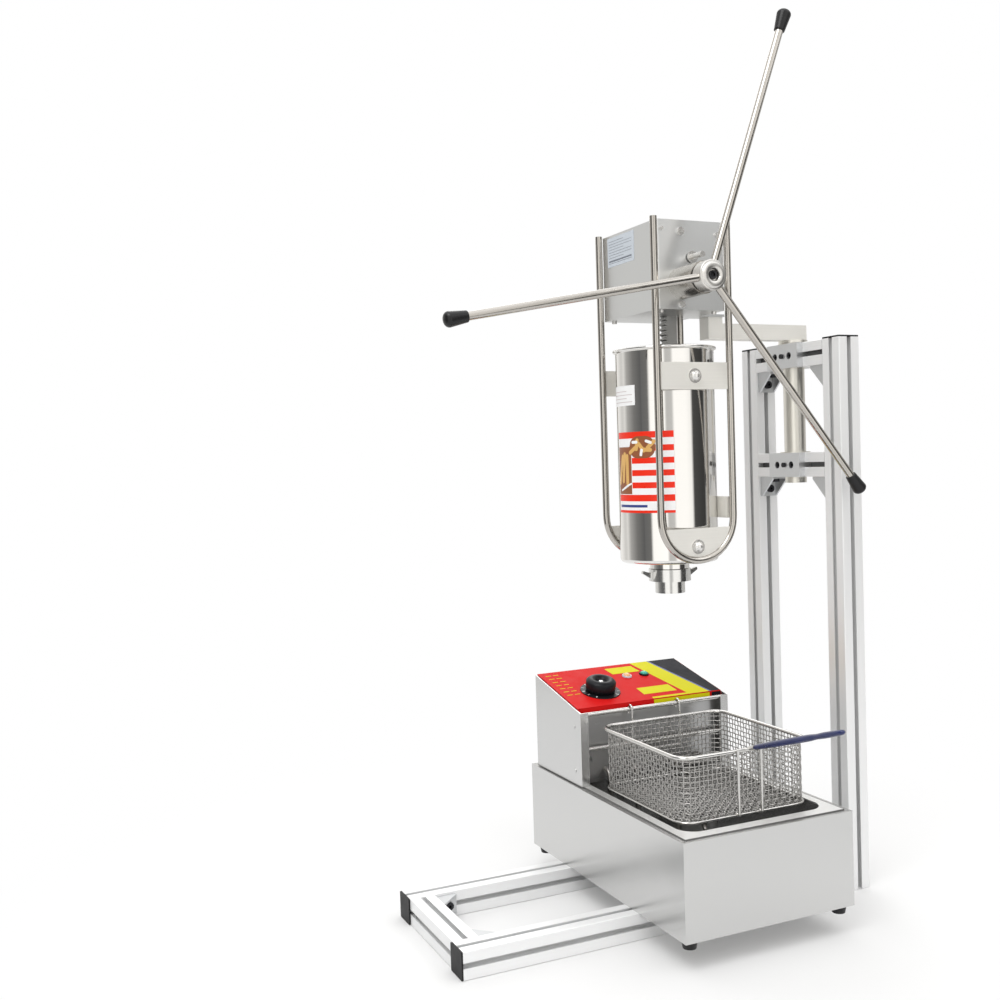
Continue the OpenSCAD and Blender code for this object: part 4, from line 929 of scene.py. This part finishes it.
class CHURRO_OT_basket(Operator):
    """Woven wire basket: wires waved over and under each other, rim and foot wires"""

    bl_idname = "churro.basket"
    bl_label = "Wire basket"

    def execute(self, context):
        look = context.scene.churro_look
        *_, z0, z1 = basket_frame()
        parts = [crossing_wires(0, look), crossing_wires(1, look), ring_wires(look)]
        # The mesh takes the darker copy of the wire steel, painted shade
        piece("basket_weave", parts, "weave", "basket", ["basket_walls", "basket_floor"],
              0, False)
        # Rim and foot wires, round the walls' outside
        hoops = []
        for off, z, thick, sides in ((0.0031, z1 - 0.003, 0.0030, 18), (0.001, z0 + 0.004, 0.0020, 12)):
            hoops.append(tube(basket_loop(look, off, z, 0.004)[0], thick, (0, 0, 1), sides, True))
        piece("basket_hoops", hoops, "wire", "basket", ["basket_rim"], 60)
        dress("wire", "basket_hooks", "handle_frame")
        return {"FINISHED"}


class CHURRO_OT_handle(Operator):
    """Blue dipped grip of the basket: an oval bar that narrows at both ends with a thumb waist"""

    bl_idname = "churro.handle"
    bl_label = "Basket grip"

    def execute(self, context):
        low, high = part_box("handle_grip")
        slope, length = math.radians(18), 0.199
        out = np.array([0, -math.cos(slope), math.sin(slope)])
        start = np.array([(low.x + high.x) / 2, -0.2044, 0.2795]) + out * 0.012
        s = np.linspace(0, length, 60)
        t = s / length
        waist = 0.0010 * np.exp(-((t - 0.72) / 0.05) ** 2)
        r = 0.0046 + 0.0019 * np.sin(np.pi * np.clip(t * 1.02, 0, 1)) ** 0.6 - waist
        r = r * np.sqrt(np.clip(1 - np.clip((t - 0.975) / 0.025, 0, 1) ** 2 * 0.98, 0, 1))
        r = r * np.sqrt(np.clip(1 - np.clip((0.02 - t) / 0.02, 0, 1) ** 2 * 0.6, 0, 1))
        path = start + out * s[:, None]
        piece("basket_grip", [tube(path, r, (1, 0, 0), 28, False, 0.72)], "grip", "basket",
              ["handle_grip"], 60)
        return {"FINISHED"}


def graph(tree, nodes, links):
    """Fills a tree from name: (kind, properties, inputs) and (from, output, to, input), returns its nodes."""
    tree.nodes.clear()
    made = {}
    for name, (kind, properties, inputs) in nodes.items():
        node = made[name] = tree.nodes.new("ShaderNode" + kind)
        for key, value in properties.items():
            setattr(node, key, value)
        for key, value in inputs.items():
            node.inputs[key].default_value = value
    for source, output, target, into in links:
        tree.links.new(made[source].outputs[output], made[target].inputs[into])
    return made


def add_floor(scene):
    """Pale floor that glows to plain white away from the part, for the camera and in reflections."""
    span, middle = 1.7, -0.3
    u, v = sheet(-span, span, -span, span, 3, 3)
    verts = np.stack([u + middle, v, np.full(u.shape, -0.0005)], -1).reshape(-1, 3)
    mesh = bpy.data.meshes.new("floor")
    mesh.from_pydata(verts.tolist(), [], grid_faces(3, 3).tolist())
    floor = bpy.data.objects.new("floor", mesh)
    scene.collection.objects.link(floor)
    mat = bpy.data.materials.new("floor_white")
    mat.use_nodes = True
    graph(mat.node_tree, {
        "out": ("OutputMaterial", {}, {}),
        "mix": ("MixShader", {}, {}),
        "soft": ("BsdfDiffuse", {}, {0: (0.76, 0.76, 0.76, 1)}),
        "glow": ("Emission", {}, {0: (1, 1, 1, 1)}),
        "coord": ("TexCoord", {}, {}),
        "dist": ("VectorMath", {"operation": "DISTANCE"}, {1: (middle, 0, 0)}),
        "fade": ("MapRange", {"interpolation_type": "SMOOTHSTEP"}, {1: 0.35, 2: 1.1, 3: 0.15, 4: 1.0}),
        "path": ("LightPath", {}, {}),
        "seen": ("Math", {"operation": "MAXIMUM"}, {}),
        "both": ("Math", {"operation": "MULTIPLY"}, {}),
    }, [("path", "Is Camera Ray", "seen", 0), ("path", "Is Glossy Ray", "seen", 1),
        ("coord", "Object", "dist", 0), ("dist", "Value", "fade", 0),
        ("fade", 0, "both", 0), ("seen", 0, "both", 1),
        ("both", 0, "mix", 0), ("soft", 0, "mix", 1), ("glow", 0, "mix", 2), ("mix", 0, "out", 0)])
    mesh.materials.append(mat)


def add_room(scene):
    """White backdrop for the camera; the part mirrors a room of bright panels and dark gaps round it."""
    world = bpy.data.worlds.new("studio")
    world.use_nodes = True
    scene.world = world
    made = graph(world.node_tree, {
        "out": ("OutputWorld", {}, {}),
        "mix": ("MixShader", {}, {}),
        "room": ("Background", {}, {1: 1.6}),
        "white": ("Background", {}, {0: (1, 1, 1, 1), 1: 1.0}),
        "coord": ("TexCoord", {}, {}),
        "split": ("SeparateXYZ", {}, {}),
        "angle": ("Math", {"operation": "ARCTAN2"}, {}),
        "turn": ("MapRange", {}, {1: -math.pi, 2: math.pi}),
        "ramp": ("ValToRGB", {}, {}),
        "height": ("MapRange", {}, {1: 0.45, 2: 0.95}),
        "tone": ("Mix", {"data_type": "RGBA"}, {7: (1, 1, 1, 1)}),
        "path": ("LightPath", {}, {}),
    }, [("coord", "Generated", "split", 0), ("split", 1, "angle", 0), ("split", 0, "angle", 1),
        ("angle", 0, "turn", 0), ("turn", 0, "ramp", 0), ("split", 2, "height", 0), ("height", 0, "tone", 0),
        ("ramp", 0, "tone", 6), ("tone", 2, "room", 0), ("path", "Is Camera Ray", "mix", 0),
        ("room", 0, "mix", 1), ("white", 0, "mix", 2), ("mix", 0, "out", 0)])
    # Brightness by direction: -180 degrees at 0, -90 at 0.25, 0 at 0.5 and 90 at 0.75
    stops = [(0.0, 0.10), (0.045, 0.12), (0.06, 0.80), (0.15, 0.85), (0.165, 0.40), (0.20, 0.42),
             (0.215, 0.80), (0.29, 0.80), (0.325, 0.72), (0.34, 0.05), (0.43, 0.03), (0.445, 0.35),
             (0.56, 0.42), (0.60, 0.30), (0.66, 0.45), (0.74, 0.64), (0.79, 0.56), (0.81, 0.48),
             (0.83, 0.48), (0.85, 0.56), (0.88, 0.30), (0.94, 0.14), (1.0, 0.08)]
    ends = made["ramp"].color_ramp.elements
    for element, (place, level) in zip((ends[0], ends[1]), (stops[0], stops[-1])):
        element.position, element.color = place, (level, level, level, 1)
    for place, level in stops[1:-1]:
        ends.new(place).color = (level, level * 0.985, level * 0.955, 1)


def add_lights(scene):
    """Three soft area lights aimed at the part's middle."""
    aim = Vector((-0.25, 0, 0.55))
    for name, place, size, power in (("key", (-1.9, -1.0, 3.2), 1.6, 30), ("fill", (1.6, -1.9, 2.6), 1.6, 12),
                                     ("back", (0.9, 2.3, 2.2), 1.4, 12)):
        lamp = bpy.data.lights.new(name, "AREA")
        lamp.size, lamp.energy = size, power
        obj = bpy.data.objects.new(name, lamp)
        scene.collection.objects.link(obj)
        obj.location = place
        obj.rotation_euler = (aim - Vector(place)).to_track_quat("-Z", "Y").to_euler()


def add_camera(scene):
    """Camera fitted to the stand's edges in the photo, as azimuth, drop and roll."""
    az, drop, roll = math.radians(24.067), math.radians(2.012), math.radians(-1.822)
    ahead = np.array([math.sin(az) * math.cos(drop), math.cos(az) * math.cos(drop), -math.sin(drop)])
    right = np.array([math.cos(az), -math.sin(az), 0])
    up = np.cross(right, ahead)
    data = bpy.data.cameras.new("camera")
    data.lens, data.sensor_width = 40.95, 36.0
    data.clip_start, data.clip_end = 0.05, 50
    cam = bpy.data.objects.new("camera", data)
    scene.collection.objects.link(cam)
    pose = np.eye(4)
    pose[:3, 0] = math.cos(roll) * right + math.sin(roll) * up
    pose[:3, 1] = -math.sin(roll) * right + math.cos(roll) * up
    pose[:3, 2] = -ahead
    pose[:3, 3] = (-1.2394, -1.5381, 0.7033)
    cam.matrix_world = Matrix(pose.tolist())
    scene.camera = cam


class CHURRO_OT_stage(Operator):
    """White floor and backdrop, soft studio light and the camera"""

    bl_idname = "churro.stage"
    bl_label = "Stage"

    def execute(self, context):
        for add in (add_floor, add_room, add_lights, add_camera):
            add(context.scene)
        context.scene.view_settings.view_transform = "Standard"
        return {"FINISHED"}


STEPS = (CHURRO_OT_stand, CHURRO_OT_press, CHURRO_OT_cylinder, CHURRO_OT_labels, CHURRO_OT_arms,
         CHURRO_OT_grips, CHURRO_OT_fryer, CHURRO_OT_panel, CHURRO_OT_knob, CHURRO_OT_basket,
         CHURRO_OT_handle, CHURRO_OT_stage)


class CHURRO_PT_sidebar(Panel):
    """Lists the steps and the settings in the 3D view's sidebar"""

    bl_idname = "CHURRO_PT_sidebar"
    bl_label = "Churro maker"
    bl_space_type = "VIEW_3D"
    bl_region_type = "UI"
    bl_category = "Churro"

    def draw(self, context):
        look = context.scene.churro_look
        for name in ChurroLook.__annotations__:
            self.layout.prop(look, name)
        for step in STEPS:
            self.layout.operator(step.bl_idname)


CLASSES = (ChurroLook, *STEPS, CHURRO_PT_sidebar)


def register():
    for c in CLASSES:
        bpy.utils.register_class(c)
    bpy.types.Scene.churro_look = PointerProperty(type=ChurroLook)


def unregister():
    del bpy.types.Scene.churro_look
    for c in reversed(CLASSES):
        bpy.utils.unregister_class(c)


def main():
    register()
    finishes(bpy.context.scene.churro_look)
    for step in STEPS:
        group, name = step.bl_idname.split(".")
        getattr(getattr(bpy.ops, group), name)()


if __name__ == "__main__":
    main()
